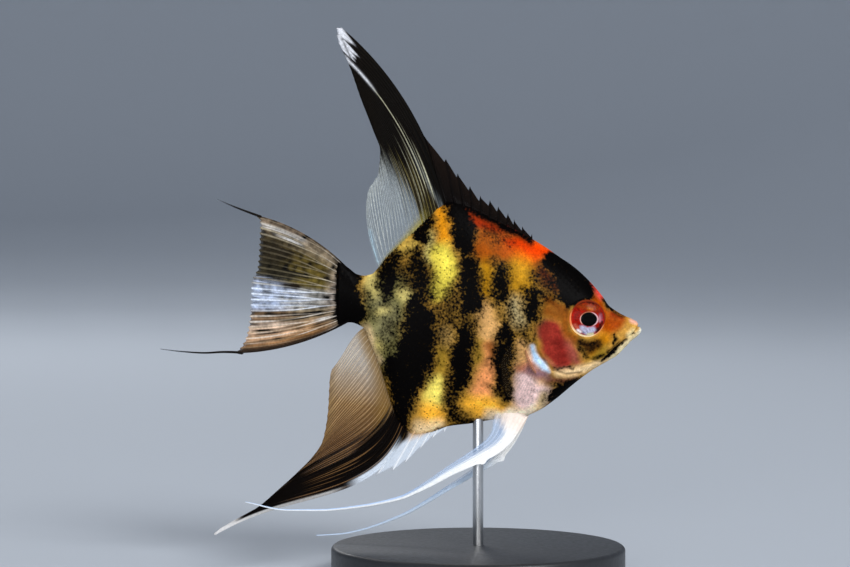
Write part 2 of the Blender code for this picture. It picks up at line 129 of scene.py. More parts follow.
# The fins' margins and bases, as in the solids. The tail's streamers are pieces of their own here.
DORSAL_BOWS = (5.7, -1.3, 1)
ANAL_BOWS = (-8.4, 1.3, 2.5)
TAIL_BOWS = (2.6, -2.5, 1)
DORSAL_SPINES_BASE = (35, 65.5)
DORSAL_RAYS_ROOT = (65.0, 87.8)
ANAL_SPINES_BASE = (63.4, 78.6)
ANAL_RAYS_ROOT = (78.6, 92.0)
DORSAL_SPINES = (
    (36, 32.3), (39.2, 34.8), (42, 37.2), (44, 39.2), (47.2, 41.5), (50, 43.6), (53.2, 45),
    (56.7, 48.3), (60.8, 52.5), (64.7, 57.3), (71.9, 65),
)  # fmt: skip
DORSAL_MARGIN = (
    (100, 102), (101.3, 101), (101, 97.7), (99, 93), (96.7, 87.7), (93.3, 78), (89, 67),
    (86.7, 60.3), (87.3, 53), (90.8, 46.5), (91.4, 42),
)  # fmt: skip
ANAL_SPINES = ((65.3, -33.9), (69.3, -35.9), (73.3, -39.3), (78.3, -44), (82.5, -46.7), (88, -48.4))
ANAL_MARGIN = (
    (142.5, -68.5), (142.2, -67.7), (131.5, -61.5), (126.7, -58.2), (120.7, -53), (115.7, -48.6),
    (110, -43), (105.7, -36.3), (104, -26.3), (103.4, -16), (102.8, -13),
)  # fmt: skip
TAIL_MARGIN = (
    (128.2, 38.8), (126.8, 36.3), (127, 30.3), (127.7, 21), (129.7, 16), (130, 7), (131, -0.7),
    (133, -5.4), (135.5, -7.6),
)  # fmt: skip
TAIL_ROOT = ((97, 20.6), (97, 3.0))
UPPER_STREAMER = ((126, 37.9), (128.2, 38.7), (134.8, 41.2), (141, 43.9))
LOWER_STREAMER = ((132, -7.6), (134.5, -7.1), (138.3, -7), (145, -7.3), (152, -6.9), (160, -6))
DORSAL_LEAN = 1.6
ANAL_LEAN = -1.4
TAIL_WAVE = 1.1
RIGHT_PELVIC = (
    (42.6, -30), (45.3, -34.5), (49, -38), (52.7, -40.3), (56.7, -42.5), (63.3, -46), (70, -50),
    (75, -52.8), (80, -55), (93.3, -57.8), (106.7, -59), (116.7, -59), (131, -56.3),
)  # fmt: skip
RIGHT_PELVIC_WIDTHS = (7.4, 6.4, 6, 5.4, 4.6, 3.4, 2.5, 1.7, 1.3, 1.0)
LEFT_PELVIC = (
    (41, -30), (43.3, -35), (46.7, -40.3), (50.3, -44), (54, -46.7), (60, -50.7), (65, -53.8),
    (71.7, -58), (78.3, -61.7), (83.3, -63.8), (88.3, -65.7), (93.3, -67.2), (100, -68.5),
    (108.3, -69),
)  # fmt: skip
LEFT_PELVIC_WIDTHS = (6, 5.6, 5, 3.6, 2.6, 2, 1.6, 1.3, 1.0)
PELVIC_SIDE = 2.4
PELVIC_FLARE = 4.2
PECTORAL_ROOT = ((38.3, -6.5), (35, -13))
PECTORAL_MARGIN = ((43.3, -3.7), (46.7, -10.3), (46, -18), (41.7, -23.4), (36, -24.4))
PECTORAL_FLARE = 3.2

# In metres: the streamers' radii at root and tip, how far the corners of the stand's pieces are
# rounded, where the camera stands and where the lights point.
STREAMER_RADII = (0.0002, 0.00006)
DISC_RIM = 0.0006
ROD_RIM = 0.00008
CAMERA_SPOT = (-0.00795, -0.301, 0.0437)
LIGHTS_AIM = (-0.006, 0, 0.044)

# Black marks on the skin. Each is a chain of circles (behind, above, radius) drawn together, after
# the width over which its edge breaks into spots and how dark it is.
BLACK_MARKS = (
    # nape
    (1.0, 1.35, (29.6, 23.4, 2.8), (26, 20.6, 4.4), (22.2, 16.8, 5.7), (22.4, 12.6, 4.2),
     (19, 13.6, 3.2), (17.6, 12.4, 1.9)),
    (0.9, 1.3, (23, 12.6, 4.0), (25.4, 11.4, 2.2), (24.6, 9.0, 1.0)),
    (2.4, 0.66, (32.3, 20, 2.2), (30, 16, 3.2), (28, 13, 2.2)),
    # behind the head
    (1.6, 1.25, (32.6, 11.6, 1.3), (36.8, 12.2, 2.3), (36.6, 8, 2.3), (36.4, 5, 1.5)),
    (2.2, 0.62, (34.5, 18.5, 1.8), (35, 15, 2.0)),
    (2.2, 0.66, (36, 4, 1.6), (39.4, 1, 2.2), (38.4, -2.5, 1.8)),
    # first bar
    (2.0, 1.15, (46.8, 20.6, 2.2), (46.7, 15.5, 2.7), (46.6, 11.5, 2.5)),
    (2.2, 0.62, (45, 10.5, 2.6), (44, 5, 2.2)),
    (2.6, 0.4, (50, 32.5, 2.6), (44, 30, 2.0)),
    (1.7, 1.3, (44.8, 3, 1.6), (44.9, -2, 2.4), (45.6, -8, 2.8), (46.1, -13.5, 2.4), (46.4, -18, 1.9)),
    (1.1, 1.0, (46.0, -17, 2.0), (44.6, -20.6, 2.1), (44.0, -23.2, 1.0)),
    # stem below the dorsal fin
    (1.3, 1.3, (61.2, 45, 3.2), (61, 40, 2.9), (59.2, 34.5, 3.4), (58.6, 31, 3.7), (58.3, 27.6, 2.4)),
    (2.2, 0.62, (58, 27, 2.6), (57.5, 23.5, 2.8)),
    # second bar
    (1.7, 1.25, (57.2, 22.6, 2.3), (56.7, 17, 3.2), (56.2, 11, 3.6), (57, 8, 3.0)),
    (2.4, 0.7, (57.3, 7, 3.4), (58.6, 1.5, 3.2)),
    (2.4, 0.68, (62.2, 13.0, 2.2), (63.0, 8, 3.0), (62, 3.5, 2.4)),
    (1.7, 1.3, (58.9, 1, 2.2), (58.6, -4, 3.3), (59.4, -9.5, 3.6), (60.2, -15, 3.2), (61.2, -19.4, 2.1)),
    (1.6, 0.9, (61.6, -20, 1.8), (63.2, -24, 1.6)),
    # along the belly's lower edge
    (1.8, 1.05, (63.2, -25, 1.5), (61.2, -29, 1.9), (57.4, -30.6, 1.5), (53.4, -31.2, 0.9)),
    (1.0, 1.0, (68, -34, 0.6), (65.4, -32.8, 0.9), (61, -31.8, 0.9)),
    # large rear mass, down into the anal fin
    (1.8, 1.3, (74.6, 9.4, 2.8), (73, 4, 5.2), (73.8, -3, 5.9), (75, -8, 6.4), (77.8, -12.8, 7.2),
     (79.4, -17.5, 5.1), (79.2, -22, 3.9), (79.6, -27, 3.1), (80.8, -33, 2.8), (83, -38, 3.0)),
    (2.4, 0.66, (67, 7.4, 2.2), (66, 2, 1.8), (66.5, -3, 1.6)),
    # rear of the back
    (1.5, 1.25, (70.8, 37.4, 1.7), (72.8, 33, 2.4), (73.4, 30.4, 1.6)),
    (2.2, 0.6, (70.4, 33, 1.6), (69.8, 28.6, 1.4)),
    (1.8, 1.15, (80.6, 25.4, 1.6), (83.2, 21, 3.1), (84.2, 16.5, 3.3), (84, 13, 2.2)),
    (2.2, 0.98, (75, 24.5, 2.6), (73.6, 18.6, 4.0), (72.4, 13, 3.9)),
    (2.4, 0.85, (79.2, 20, 2.4), (78.6, 16.6, 2.0)),
    (2.2, 0.66, (90.6, 11.6, 1.4), (90.4, 6, 1.8)),
    (2.4, 0.56, (81.2, 6, 1.8), (82.4, 0.5, 3.0), (83, -5, 3.2)),
    # tail stalk
    (1.3, 1.5, (96.5, 24, 2.2), (97.4, 12, 3.8), (96.8, 6, 4.8), (96.4, 0, 3.6)),
    (0.9, 1.3, (99.5, 22, 3), (100, 12, 4), (99.5, 3, 3)),
    # chest
    (1.0, 1.25, (19.6, -16.2, 0.7), (24, -18.6, 2.3), (28, -21.8, 2.6)),
    (2.0, 0.72, (27.4, -20.0, 2.6), (29.4, -22.6, 2.0)),
    # head
    (0.7, 1.2, (12.0, 10.2, 0.4), (10.6, 8.2, 0.8), (9.2, 7.2, 0.6)),
    (0.7, 0.6, (8.6, 6.5, 0.4), (5.8, 5.2, 0.3)),
    (0.35, 1.15, (4.8, -2.9, 0.1), (7.2, -4.8, 0.25), (9.6, -7.1, 0.55), (11.4, -8.8, 0.5),
     (12.8, -9.9, 0.2)),
    (0.5, 0.6, (7.4, -3.8, 0.15), (9.4, -5.5, 0.25), (11.2, -7.3, 0.35)),
    (0.6, 0.6, (12.4, -8.0, 0.5), (14.2, -8.5, 0.6), (15.8, -9.0, 0.4)),
    (0.5, 1.0, (8.9, -1.2, 0.2), (8.8, -2.6, 0.5), (9.3, -4.4, 0.2)),
    (1.2, 0.5, (14.8, -4.4, 1.3), (17.5, -5.2, 1.7), (20.2, -3.8, 0.9)),
    (0.8, 0.75, (21.0, -5.4, 0.4), (19.2, -7.6, 0.6), (18.0, -9.0, 0.3)),
    (0.4, 0.9, (2.3, -1.0, 0.2), (2.8, -1.0, 0.15)),
    (0.5, 0.75, (29, -12.0, 0.15), (25.5, -12.2, 0.25), (22.5, -12.2, 0.15)),
)  # fmt: skip

# Coloured areas of the skin, painted in this order: the colour's name, the width of the edge, and
# the chain of circles.
AREAS = (
    ("olive", 4, (84, 12, 8), (86, 2, 7), (84, -8, 6)),
    ("pale_olive", 3, (87, 10, 2.5), (84, 6, 3.5), (86, 0, 3.5)),
    ("pale_yellow", 2.4, (89.5, 18, 1.6), (88.6, 12.5, 1.6)),
    ("pale_peach", 1.8, (91.5, 1, 0.9), (89, -6, 1.2), (87, -10, 0.9)),
    ("pale_yellow", 2.0, (87.4, -4.6, 1.0), (86.4, -6.2, 0.8)),
    ("gold", 3, (40, 20, 6), (41, 12, 4)),
    ("dark_gold", 2.4, (51.6, 24, 2.4), (51.4, 11, 2.2)),
    ("orange", 3, (36, 25, 3), (42, 27, 3.0)),
    ("rust", 3, (45.5, 25.4, 2.4), (53, 27, 4)),
    ("deep_red", 4, (50, 35, 3.6), (56, 38, 4), (60, 44, 4)),
    ("red", 3, (30.8, 26.5, 2.6), (34.5, 27.4, 3.8), (40, 29.4, 3.4), (45, 29.6, 2.4)),
    ("back_red", 2.4, (39, 32.4, 0.8), (45, 34.2, 2.2), (51, 36, 3.0), (57, 38.6, 3.2)),
    ("rust", 2.6, (47, 28.8, 1.6), (52, 31, 2.0)),
    ("deep_red", 3, (33, 20, 2.4), (31, 17, 2.4), (28, 14.5, 2)),
    ("stem_gold", 2.2, (66.8, 42, 1.6), (65.6, 36, 2.6), (65.4, 30, 2.6)),
    ("pale_yellow", 2.2, (70, 31, 1.8), (70.6, 24, 1.6)),
    ("yellow", 2.0, (66.4, 26, 3.6), (65, 20, 4.4), (67, 13, 3)),
    ("rear_gold", 2.5, (76, 28.6, 2.2), (80, 27.6, 1.6)),
    ("pale_yellow", 2.5, (78.6, 12.4, 2.2), (76.6, 10.4, 1.6)),
    ("pale_yellow", 2.0, (87.2, 6.4, 1.0), (84.6, 7.6, 0.8)),
    ("peach", 2.6, (51.8, 7, 3.0), (50.6, 0, 3.6)),
    ("cream", 3, (42, 8.5, 2.6), (40.5, 4, 2.2)),
    ("olive_gold", 1.8, (53.4, -4, 1.4), (53.8, -12, 1.6)),
    ("peach_orange", 2.0, (50.4, -5, 2.0), (50, -12, 2.0)),
    ("tan", 2.2, (64.8, 0, 2.4), (64.6, -4, 1.8)),
    ("olive_gold", 2.2, (65.6, -7, 2.4), (66.6, -13, 2.4)),
    ("rust_brown", 1.6, (50.2, -4.6, 1.5), (49.2, -8, 1.2)),
    ("salmon", 2.6, (51.5, -14.5, 3.0), (53, -20, 3.4)),
    ("orange_yellow", 2.2, (57.5, -24, 2.6), (52, -25, 3.2), (46.5, -26.4, 2.0)),
    ("lemon", 2.2, (68.0, -17.6, 3.0), (69.0, -22.4, 3.6)),
    ("orange_yellow", 2.4, (70.6, -26, 2.8), (68.6, -28, 3.6)),
    ("pale_peach", 2.0, (51, -27.6, 1.2), (48, -27.4, 1.4)),
    ("pale_peach", 2.2, (73.5, -33, 2.4), (67, -31.5, 1.6)),
    ("pink", 2.4, (37.8, -7.2, 1.2), (38.4, -15.6, 3.6), (37.5, -21.4, 5.2), (33.4, -20.8, 3.6)),
    # Partly the belly's own pale colour and partly a painted rim highlight along its lower edge.
    ("white_belly", 1.5, (32.6, -22.6, 0.9), (34, -25.6, 1.0), (38, -27.2, 1.8), (43.5, -28.4, 2.2),
     (50, -29.8, 1.6), (54, -30.4, 0.8)),
    ("pale_peach", 1.8, (32.4, -22, 1.8), (34.5, -26, 1.6)),
    ("chest_brown", 1.6, (30.6, -16.0, 1.3), (26, -16.5, 1.6), (21.4, -15.4, 0.8)),
    ("peach", 1.8, (39.8, -4.5, 2.0), (39.8, -9.5, 2.4)),
    ("salmon_dark", 1.6, (37.2, -11.4, 1.8), (40.6, -11.6, 1.2), (33.5, -14, 1.4)),
    ("brown_gold", 2, (31, 10.4, 1.8), (27.5, 7.5, 1.6)),
    ("cheek_brown", 2.2, (31.5, 6.8, 2.2), (28.6, 5.4, 1.8)),
    ("cheek_brown", 1.8, (25.8, 6.5, 2.4), (25.2, -0.2, 1.8), (22.6, -2.8, 2.0)),
    ("cover_pink", 1.8, (32.8, 2.6, 1.4), (33.8, -1.0, 1.4)),
    ("cover_red", 1.5, (30.6, 0.3, 3.8), (28.8, -5.2, 4.7), (26.2, -8.6, 4.2)),
    ("cover_dark", 2.4, (27.4, -4.0, 1.6), (26.2, -8.0, 2.0)),
    ("cover_pink", 2.0, (24.4, -4.4, 1.0), (22.6, -7.4, 1.7), (21.4, -10.2, 1.7)),
    ("cover_pink", 1.4, (32, -9.4, 0.8), (28.4, -12, 0.7), (24, -12.6, 0.6)),
    ("mauve", 1.8, (36.8, -13.0, 1.8), (32, -14.6, 1.4)),
    # Painted sheen: a bluish white highlight along the shoulder ridge behind the gill cover.
    ("shoulder_sheen", 0.9, (36.2, -5.2, 0.6), (35.0, -8.8, 1.4), (32.6, -12.0, 0.9), (30.8, -13.6, 0.3)),
    ("snout_orange", 2.4, (11, 2, 3.6), (7.5, 2.4, 2.4)),
    ("snout_red", 1.8, (9.6, 5.6, 1.6), (6.2, 4.4, 1.0)),
    ("snout_orange", 1.4, (17.4, 12.6, 1.6), (14.2, 10.0, 1.8), (12.4, 6.2, 1.4)),
    # The brow's own red, painted brighter along the ridge of the forehead as its highlight.
    ("brow_red", 1.0, (17, 16.4, 1.0), (15, 13.8, 1.2), (12.8, 11.2, 1.0)),
    ("ochre", 2, (12.5, -3, 2.8), (16, -7, 2.2)),
    ("olive_gold", 1.8, (12, -6.6, 2), (15.5, -9.2, 1.4)),
    ("smudge", 1.3, (14.6, -4.4, 1.5), (17.5, -5.2, 2.1), (20.4, -3.8, 1.1)),
    ("cheek_gold", 1.6, (4.6, 0.8, 1.6), (5.4, -1.2, 1.8), (8, -3.6, 1.3), (10.4, -6.2, 1.0)),
    ("cream", 1.2, (2.6, -0.1, 0.8), (3.6, -1.4, 1.1)),
    # Partly the jaw's own cream and partly a painted rim highlight along its lower edge.
    ("jaw_cream", 0.7, (0.2, -1.0, 1.1), (2.4, -2.6, 0.9), (4.6, -4.4, 1.1), (7.6, -7.1, 1.2),
     (10.4, -9.4, 0.8)),
    ("lip_white", 0.8, (-0.2, 0.6, 0.6), (0.0, -0.8, 0.6)),
    # Painted shade in the slit of the mouth between the lips.
    ("mouth_slit_shade", 0.3, (-0.2, 2.0, 0.06), (0.7, 1.4, 0.06), (1.5, 0.3, 0.08), (2.5, -0.9, 0.14)),
    ("lip_pink", 0.8, (1.3, 2.9, 0.8), (2.8, 3.5, 0.8)),
    ("pale_peach", 1.4, (10.6, -9.9, 0.7), (16, -11.9, 1.3), (22, -13.5, 1.3), (28, -13.8, 0.9)),
)  # fmt: skip

COLOURS = {
    "base": "#C8963C",
    "olive": "#8E8850",
    "pale_olive": "#948E62",
    "olive_gold": "#A8842A",
    "gold": "#CE941C",
    "dark_gold": "#C48A12",
    "rear_gold": "#E4BE58",
    "cheek_gold": "#B4843A",
    "cheek_brown": "#8A4C14",
    "orange": "#DA7808",
    "rust": "#B0540A",
    "rust_brown": "#9C5A26",
    "stem_gold": "#F09A16",
    "peach_orange": "#E8965A",
    "tan": "#CCA25A",
    "orange_yellow": "#FFB838",
    "yellow": "#F8E254",
    "lemon": "#F4E068",
    "pale_yellow": "#F0DC84",
    "red": "#EA4002",
    "deep_red": "#7A1E06",
    "back_red": "#A02C08",
    "peach": "#E6B06C",
    "pale_peach": "#F6D4A0",
    "salmon": "#EE9A5E",
    "salmon_dark": "#C87C5C",
    "cream": "#E8D298",
    "white_belly": "#FFEBCF",
    "pink": "#F2D0CC",
    "mauve": "#86646A",
    "chest_brown": "#744430",
    "shoulder_sheen": "#BCDCFA",
    "brown_gold": "#88440E",
    "cover_red": "#902C22",
    "cover_dark": "#741E18",
    "cover_pink": "#90463A",
    "ochre": "#B8740E",
    "snout_orange": "#A24204",
    "snout_red": "#8E2A08",
    "smudge": "#54300E",
    "brow_red": "#D8463A",
    "jaw_cream": "#F0DCAC",
    "lip_white": "#F2F2DE",
    "mouth_slit_shade": "#94743A",
    "lip_pink": "#F4B49C",
    "stain": "#3A2C10",
    "black": "#040303",
}


# Curves and shapes. Every function takes whole arrays of values.


def linear(code):
    """Linear RGB from an sRGB hex value."""
    values = np.array([int(code[i : i + 2], 16) / 255 for i in (1, 3, 5)])
    return np.where(values <= 0.04045, values / 12.92, ((values + 0.055) / 1.055) ** 2.4)


def smooth(knots, values):
    """A smooth function that passes through the values at the knots and doesn't overshoot them."""
    knots = np.array(knots, float)
    values = np.array(values, float)
    spans = np.diff(knots)
    slopes = np.diff(values) / spans
    left, right = slopes[:-1], slopes[1:]
    turning = left * right > 0
    inner = np.where(turning, 2 * left * right / np.where(turning, left + right, 1), 0)
    tangents = np.concatenate([slopes[:1], inner, slopes[-1:]])

    def value(x):
        x = np.clip(x, knots[0], knots[-1])
        i = np.clip(np.searchsorted(knots, x, side="right") - 1, 0, len(spans) - 1)
        f = (x - knots[i]) / spans[i]
        rise = values[i + 1] - values[i]
        start = tangents[i] * spans[i]
        end = tangents[i + 1] * spans[i]
        return values[i] + f * (start + f * (3 * rise - 2 * start - end + f * (start + end - 2 * rise)))

    return value


def path_knots(points, even=False):
    points = np.array(points, float)
    if even:
        return np.linspace(0, 1, len(points))
    steps = np.hypot(*np.diff(points, axis=0).T)
    return np.concatenate([[0], np.cumsum(steps)]) / steps.sum()


def path(points, even=False):
    """A smooth path through the points: an array of places for an array of 0 to 1."""
    knots = path_knots(points, even)
    backs = smooth(knots, [p[0] for p in points])
    ups = smooth(knots, [p[1] for p in points])
    return lambda s: np.stack([backs(s), ups(s)], axis=-1)


def ease(low, high, x):
    """0 below low, 1 above high, and a smooth step between."""
    x = np.clip((x - low) / (high - low), 0, 1)
    return x * x * (3 - 2 * x)


def blend(a, b, share):
    """Colour a with this share of colour b over it. Each is linear RGB or an sRGB hex value."""
    a, b = (linear(colour) if isinstance(colour, str) else colour for colour in (a, b))
    return a + (b - a) * np.asarray(share)[..., None]


def ramp(x, *stops):
    """The colour at x on a scale of (place, hex colour) stops."""
    places = [place for place, _ in stops]
    colours = np.array([linear(code) for _, code in stops])
    return np.stack([np.interp(x, places, colours[:, i]) for i in range(3)], axis=-1)


def unit(vectors):
    return vectors / np.maximum(np.linalg.norm(vectors, axis=-1, keepdims=True), 1e-12)


def chain(back, up, circles):
    """How far each place lies outside a chain of circles, in percent: negative inside it."""
    nearest = np.full(np.shape(back), 1e3)
    if len(circles) == 1:
        circles = circles * 2
    for (u0, v0, r0), (u1, v1, r1) in zip(circles, circles[1:]):
        du, dv = u1 - u0, v1 - v0
        along = np.clip(((back - u0) * du + (up - v0) * dv) / max(du * du + dv * dv, 1e-9), 0, 1)
        away = np.hypot(back - u0 - du * along, up - v0 - dv * along)
        nearest = np.minimum(nearest, away - r0 - (r1 - r0) * along)
    return nearest


def bell(x, middle, width):
    """1 at the middle, falling to nothing over about twice this width."""
    return np.exp(-(((x - middle) / width) ** 2))


def stroke(back, up, points, width, strength=1.0):
    """A soft line through the points: its full strength on the line, fading over its width."""
    return strength * bell(chain(back, up, [(u, v, 0) for u, v in points]), 0, width)


def rough(points, size, seed):
    """Soft noise from about -0.5 to 0.5 with features of this size in metres."""
    shift = Vector((seed * 7.3, seed * 3.1, seed * 5.7))
    return np.array([noise.noise(Vector(p) / size + shift) for p in points.reshape(-1, 3)])


back_line = smooth(*zip(*BACK_LINE))
belly_line = smooth(*zip(*BELLY_LINE))
half_width = smooth(*zip(*HALF_WIDTH))
FIRST, LAST = BACK_LINE[0][0], BACK_LINE[-1][0]

# Steps of the skin's mesh round the body and along it.
SKIN_STEPS = (330, 250)
# Sections of the skin crowd towards the snout. The ends round off over these shares of the length.
SNOUT_CAP = 0.02
TAIL_CAP = 0.99
section_back = smooth((SNOUT_CAP, 0.1, 0.32, 0.56, TAIL_CAP), (FIRST, 2.0, 14, 36, LAST))


def place(back, up, side=0.0):
    """Points in metres for percent behind the snout, above it and to the fish's left."""
    return np.stack(
        np.broadcast_arrays(SNOUT_X - back * PERCENT, side * PERCENT, SNOUT_Z + up * PERCENT), axis=-1
    )


def back_and_up(points):
    """Percent behind the snout and above it, for points in metres."""
    return (SNOUT_X - points[:, 0]) / PERCENT, (points[:, 2] - SNOUT_Z) / PERCENT


def skin_side(back, up):
    """Half the body's thickness at this place, in percent."""
    top = back_line(back)
    bottom = belly_line(back)
    cosine = np.clip((2 * up - top - bottom) / (top - bottom), -1, 1)
    power = np.where(cosine > 0, BACK_POWER, BELLY_POWER)
    return half_width(back) * (1 - cosine * cosine) ** (power / 2)


def body_place(share, ring):
    """(back, up, side) in percent. Share runs from snout to tail and ring once round, from the back."""
    share, ring = np.broadcast_arrays(share, ring)
    back = section_back(share)
    snout = np.clip(share / SNOUT_CAP, 0, 1) * pi / 2
    stub = np.clip((share - TAIL_CAP) / (1 - TAIL_CAP), 0, 1) * pi / 2
    size = np.where(share < SNOUT_CAP, np.sin(snout), np.cos(stub))
    back = back - np.where(share < SNOUT_CAP, 0.2 * np.cos(snout), 0) + np.sin(stub)
    # Even steps of height in the middle of each flank, and rounder ones at the back and belly.
    part = np.abs(2 * np.mod(ring, 1.0) - 1)
    turn = pi - (0.42 * pi * part + 0.58 * np.arccos(np.clip(1 - 2 * part, -1, 1)))
    top = back_line(back)
    bottom = belly_line(back)
    power = np.where(np.cos(turn) > 0, BACK_POWER, BELLY_POWER)
    width = half_width(back) * np.abs(np.sin(turn)) ** power * size
    up = (top + bottom) / 2 + (top - bottom) / 2 * np.cos(turn) * size
    return back, up, np.where(np.mod(ring, 1.0) < 0.5, width, -width)


def edge_path(line, start, end, lift):
    """The path along a body outline from start to end, lifted outwards by lift percent."""
    back = np.linspace(start, end, 25)
    slope = (line(back + 0.1) - line(back - 0.1)) / 0.2
    outwards = 1 if line is back_line else -1
    normal = unit(np.stack([-slope, np.ones_like(slope)], axis=-1)) * outwards
    return path([tuple(p) for p in np.stack([back, line(back)], axis=-1) + normal * lift])


def relief(back, up):
    """How far the skin stands out from the plain body, in percent: the head's folds and rims."""
    # A ring of skin round each eye, and the socket under the eyeball.
    eye = np.hypot(back - EYE[0], up - EYE[1])
    height = EYE_RING * bell(eye, 6.3, 0.42) - EYE_SOCKET * ease(5.8, 5.0, eye)
    nostril = np.hypot(back - NOSTRIL[0], up - NOSTRIL[1])
    height += 0.14 * bell(nostril, 0.8, 0.3) - 0.45 * bell(nostril, 0, 0.5)
    # The gill cover's own bulge, and the slit just behind its free edge.
    cover = chain(back, up, ((30.5, 3, 1), (29.5, -6, 2)))
    height += COVER_BULGE * bell(cover.clip(0), 0, 3.6)
    slit = [(u + 0.85 * (u - 27.5) / 8, v + 0.85 * (v + 2) / 11) for u, v in GILL_EDGE]
    height -= GILL_SLIT * stroke(back, up, slit, 0.42)
    for lift, width, *points in FOLDS:
        height += stroke(back, up, points, width, lift)
    return height


def skin_point(share, ring, lift):
    """(points in metres, back, up) on the skin, lifted by this many metres."""
    back, up, side = body_place(share, ring)
    step = 1e-4

    def shifted(d_share, d_ring):
        return place(*body_place(np.clip(share + d_share, 0, 1), ring + d_ring))

    along = shifted(step, 0) - shifted(-step, 0)
    round_ = shifted(0, step) - shifted(0, -step)
    normal = unit(np.cross(round_, along))
    centre = place(back, (back_line(back) + belly_line(back)) / 2)
    flat = np.linalg.norm(np.cross(round_, along), axis=-1) < 1e-14
    ends = np.where(np.asarray(share) < 0.5, 1.0, -1.0)
    normal[flat] = np.stack([ends, 0 * ends, 0 * ends], axis=-1)[flat]
    point = place(back, up, side)
    turned = np.sum(normal * (point - centre), axis=-1) < 0
    normal[turned & ~flat] *= -1
    reach = relief(back, up) * PERCENT + lift
    return point + normal * reach[..., None], back, up


def markings(points, back, up, colours):
    """(pigment, black, pepper) at each point: the same for the skin and for the scales on it."""
    wide = rough(points, 0.0018, 1)
    fine = rough(points, 0.0006, 2)
    cross = rough(points, 0.0018, 3)
    cross_fine = rough(points, 0.0006, 4)
    # The head's marks are crisp, and those of the body ragged.
    loose = 0.25 + 0.75 * ease(16, 36, back)
    warped_back = back + (1.7 * wide + 1.3 * fine) * loose
    warped_up = up + (2.0 * cross + 1.3 * cross_fine) * loose

    black = np.zeros_like(back)
    shade = np.zeros_like(back)
    for soft, strength, *circles in BLACK_MARKS:
        away = chain(warped_back, warped_up, tuple(circles))
        soft = soft * (1 + 0.5 * ease(1.2, 1.6, soft))
        black = np.maximum(black, 1.12 * strength * ease(soft, -soft, away))
        shade = np.maximum(shade, min(strength + 0.2, 1.0) * ease(2.2 * soft, -soft, away))
    # The black of the spiny dorsal fin runs on along the edge of the back.
    edge = ease(34.5, 37, back) * ease(68, 64, back)
    below = up - back_line(back) + 0.8 * wide
    black = np.maximum(black, 1.3 * edge * ease(-2.6 - 1.4 * ease(50, 60, back), -1.0, below))
    shade = np.maximum(shade, edge * ease(-5, -1.0, below))

    pigment = np.broadcast_to(colours["base"], (*np.shape(back), 3)).copy()
    for name, soft, *circles in AREAS:
        inside = -chain(back + wide * loose, up + cross * loose, tuple(circles)) / soft
        pigment = blend(pigment, colours[name], ease(-1.0, 1.0, inside))
    tone = 1 + 0.3 * fine + 0.2 * wide
    pigment = pigment * tone[..., None]
    # Ground near the black is stained olive brown.
    stained = pigment * 0.15 + colours["stain"] * 0.3
    pigment = np.clip(blend(pigment, stained, shade), 0, 1)
    trunk = ease(35, 40, back) * (0.45 + 0.55 * ease(44, 62, back))
    chest = 0.5 * ease(6, 2, np.hypot(back - 38, up + 20))
    return pigment, black, np.maximum(trunk, chest)


# Meshes.


def new_object(name, bm, finish, slot):
    """Makes a finished piece of the bmesh, with its place in its mesh."""
    mesh = bpy.data.meshes.new(name)
    bm.to_mesh(mesh)
    bm.free()
    mesh.shade_smooth()
    obj = bpy.data.objects.new(name, mesh)
    bpy.context.scene.collection.objects.link(obj)
    mesh.materials.append(finish)
    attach(obj, "root")
    return obj


def values_of(mesh, name):
    values = np.empty(len(mesh.vertices))
    mesh.attributes[name].data.foreach_get("value", values)
    return values


def give(mesh, **layers):
    """Adds named layers to the mesh: a number or a colour for each of its points."""
    for name, values in layers.items():
        if values.ndim == 1:
            layer = mesh.attributes.new(name, "FLOAT", "POINT")
            layer.data.foreach_set("value", values)
        else:
            layer = mesh.attributes.new(name, "FLOAT_COLOR", "POINT")
            layer.data.foreach_set("color", np.c_[values, np.ones(len(values))].ravel())


def lay_grid(across, along):
    """A bmesh grid whose points know their s (across) and t (along), from 0 to 1."""
    bm = bmesh.new()
    bm.loops.layers.uv.new("OFBake")
    bmesh.ops.create_grid(bm, x_segments=across, y_segments=along, size=1, calc_uvs=True)
    s_layer = bm.verts.layers.float.new("s")
    t_layer = bm.verts.layers.float.new("t")
    for vert in bm.verts:
        vert[s_layer] = (vert.co.x + 1) / 2
        vert[t_layer] = (vert.co.y + 1) / 2
    return bm, s_layer, t_layer


def shape_points(bm, points):
    for vert, point in zip(bm.verts, points):
        vert.co = point


def grid_values(bm, s_layer, t_layer):
    s = np.array([vert[s_layer] for vert in bm.verts])
    t = np.array([vert[t_layer] for vert in bm.verts])
    return s, t


def closed_tube(around, along, spot):
    """A closed bmesh of a shape that goes once round in s. Its ends close to points at t 0 and 1."""
    bm, s_layer, t_layer = lay_grid(around, along)
    shape_points(bm, spot(*grid_values(bm, s_layer, t_layer)))
    bmesh.ops.remove_doubles(bm, verts=bm.verts, dist=1e-8)
    bmesh.ops.dissolve_degenerate(bm, edges=bm.edges, dist=1e-9)
    bmesh.ops.recalc_face_normals(bm, faces=bm.faces)
    return bm


def closed_sheet(across, along):
    """A grid and its copy joined at the rim: (bmesh, s, t, far), where far is 1 on the copy."""
    bm, s_layer, t_layer = lay_grid(across, along)
    far_layer = bm.verts.layers.float.new("far")
    drawn = bmesh.ops.extrude_face_region(bm, geom=bm.faces[:], use_keep_orig=True)
    for item in drawn["geom"]:
        if isinstance(item, bmesh.types.BMVert):
            item[far_layer] = 1.0
    far = np.array([vert[far_layer] for vert in bm.verts])
    return bm, *grid_values(bm, s_layer, t_layer), far


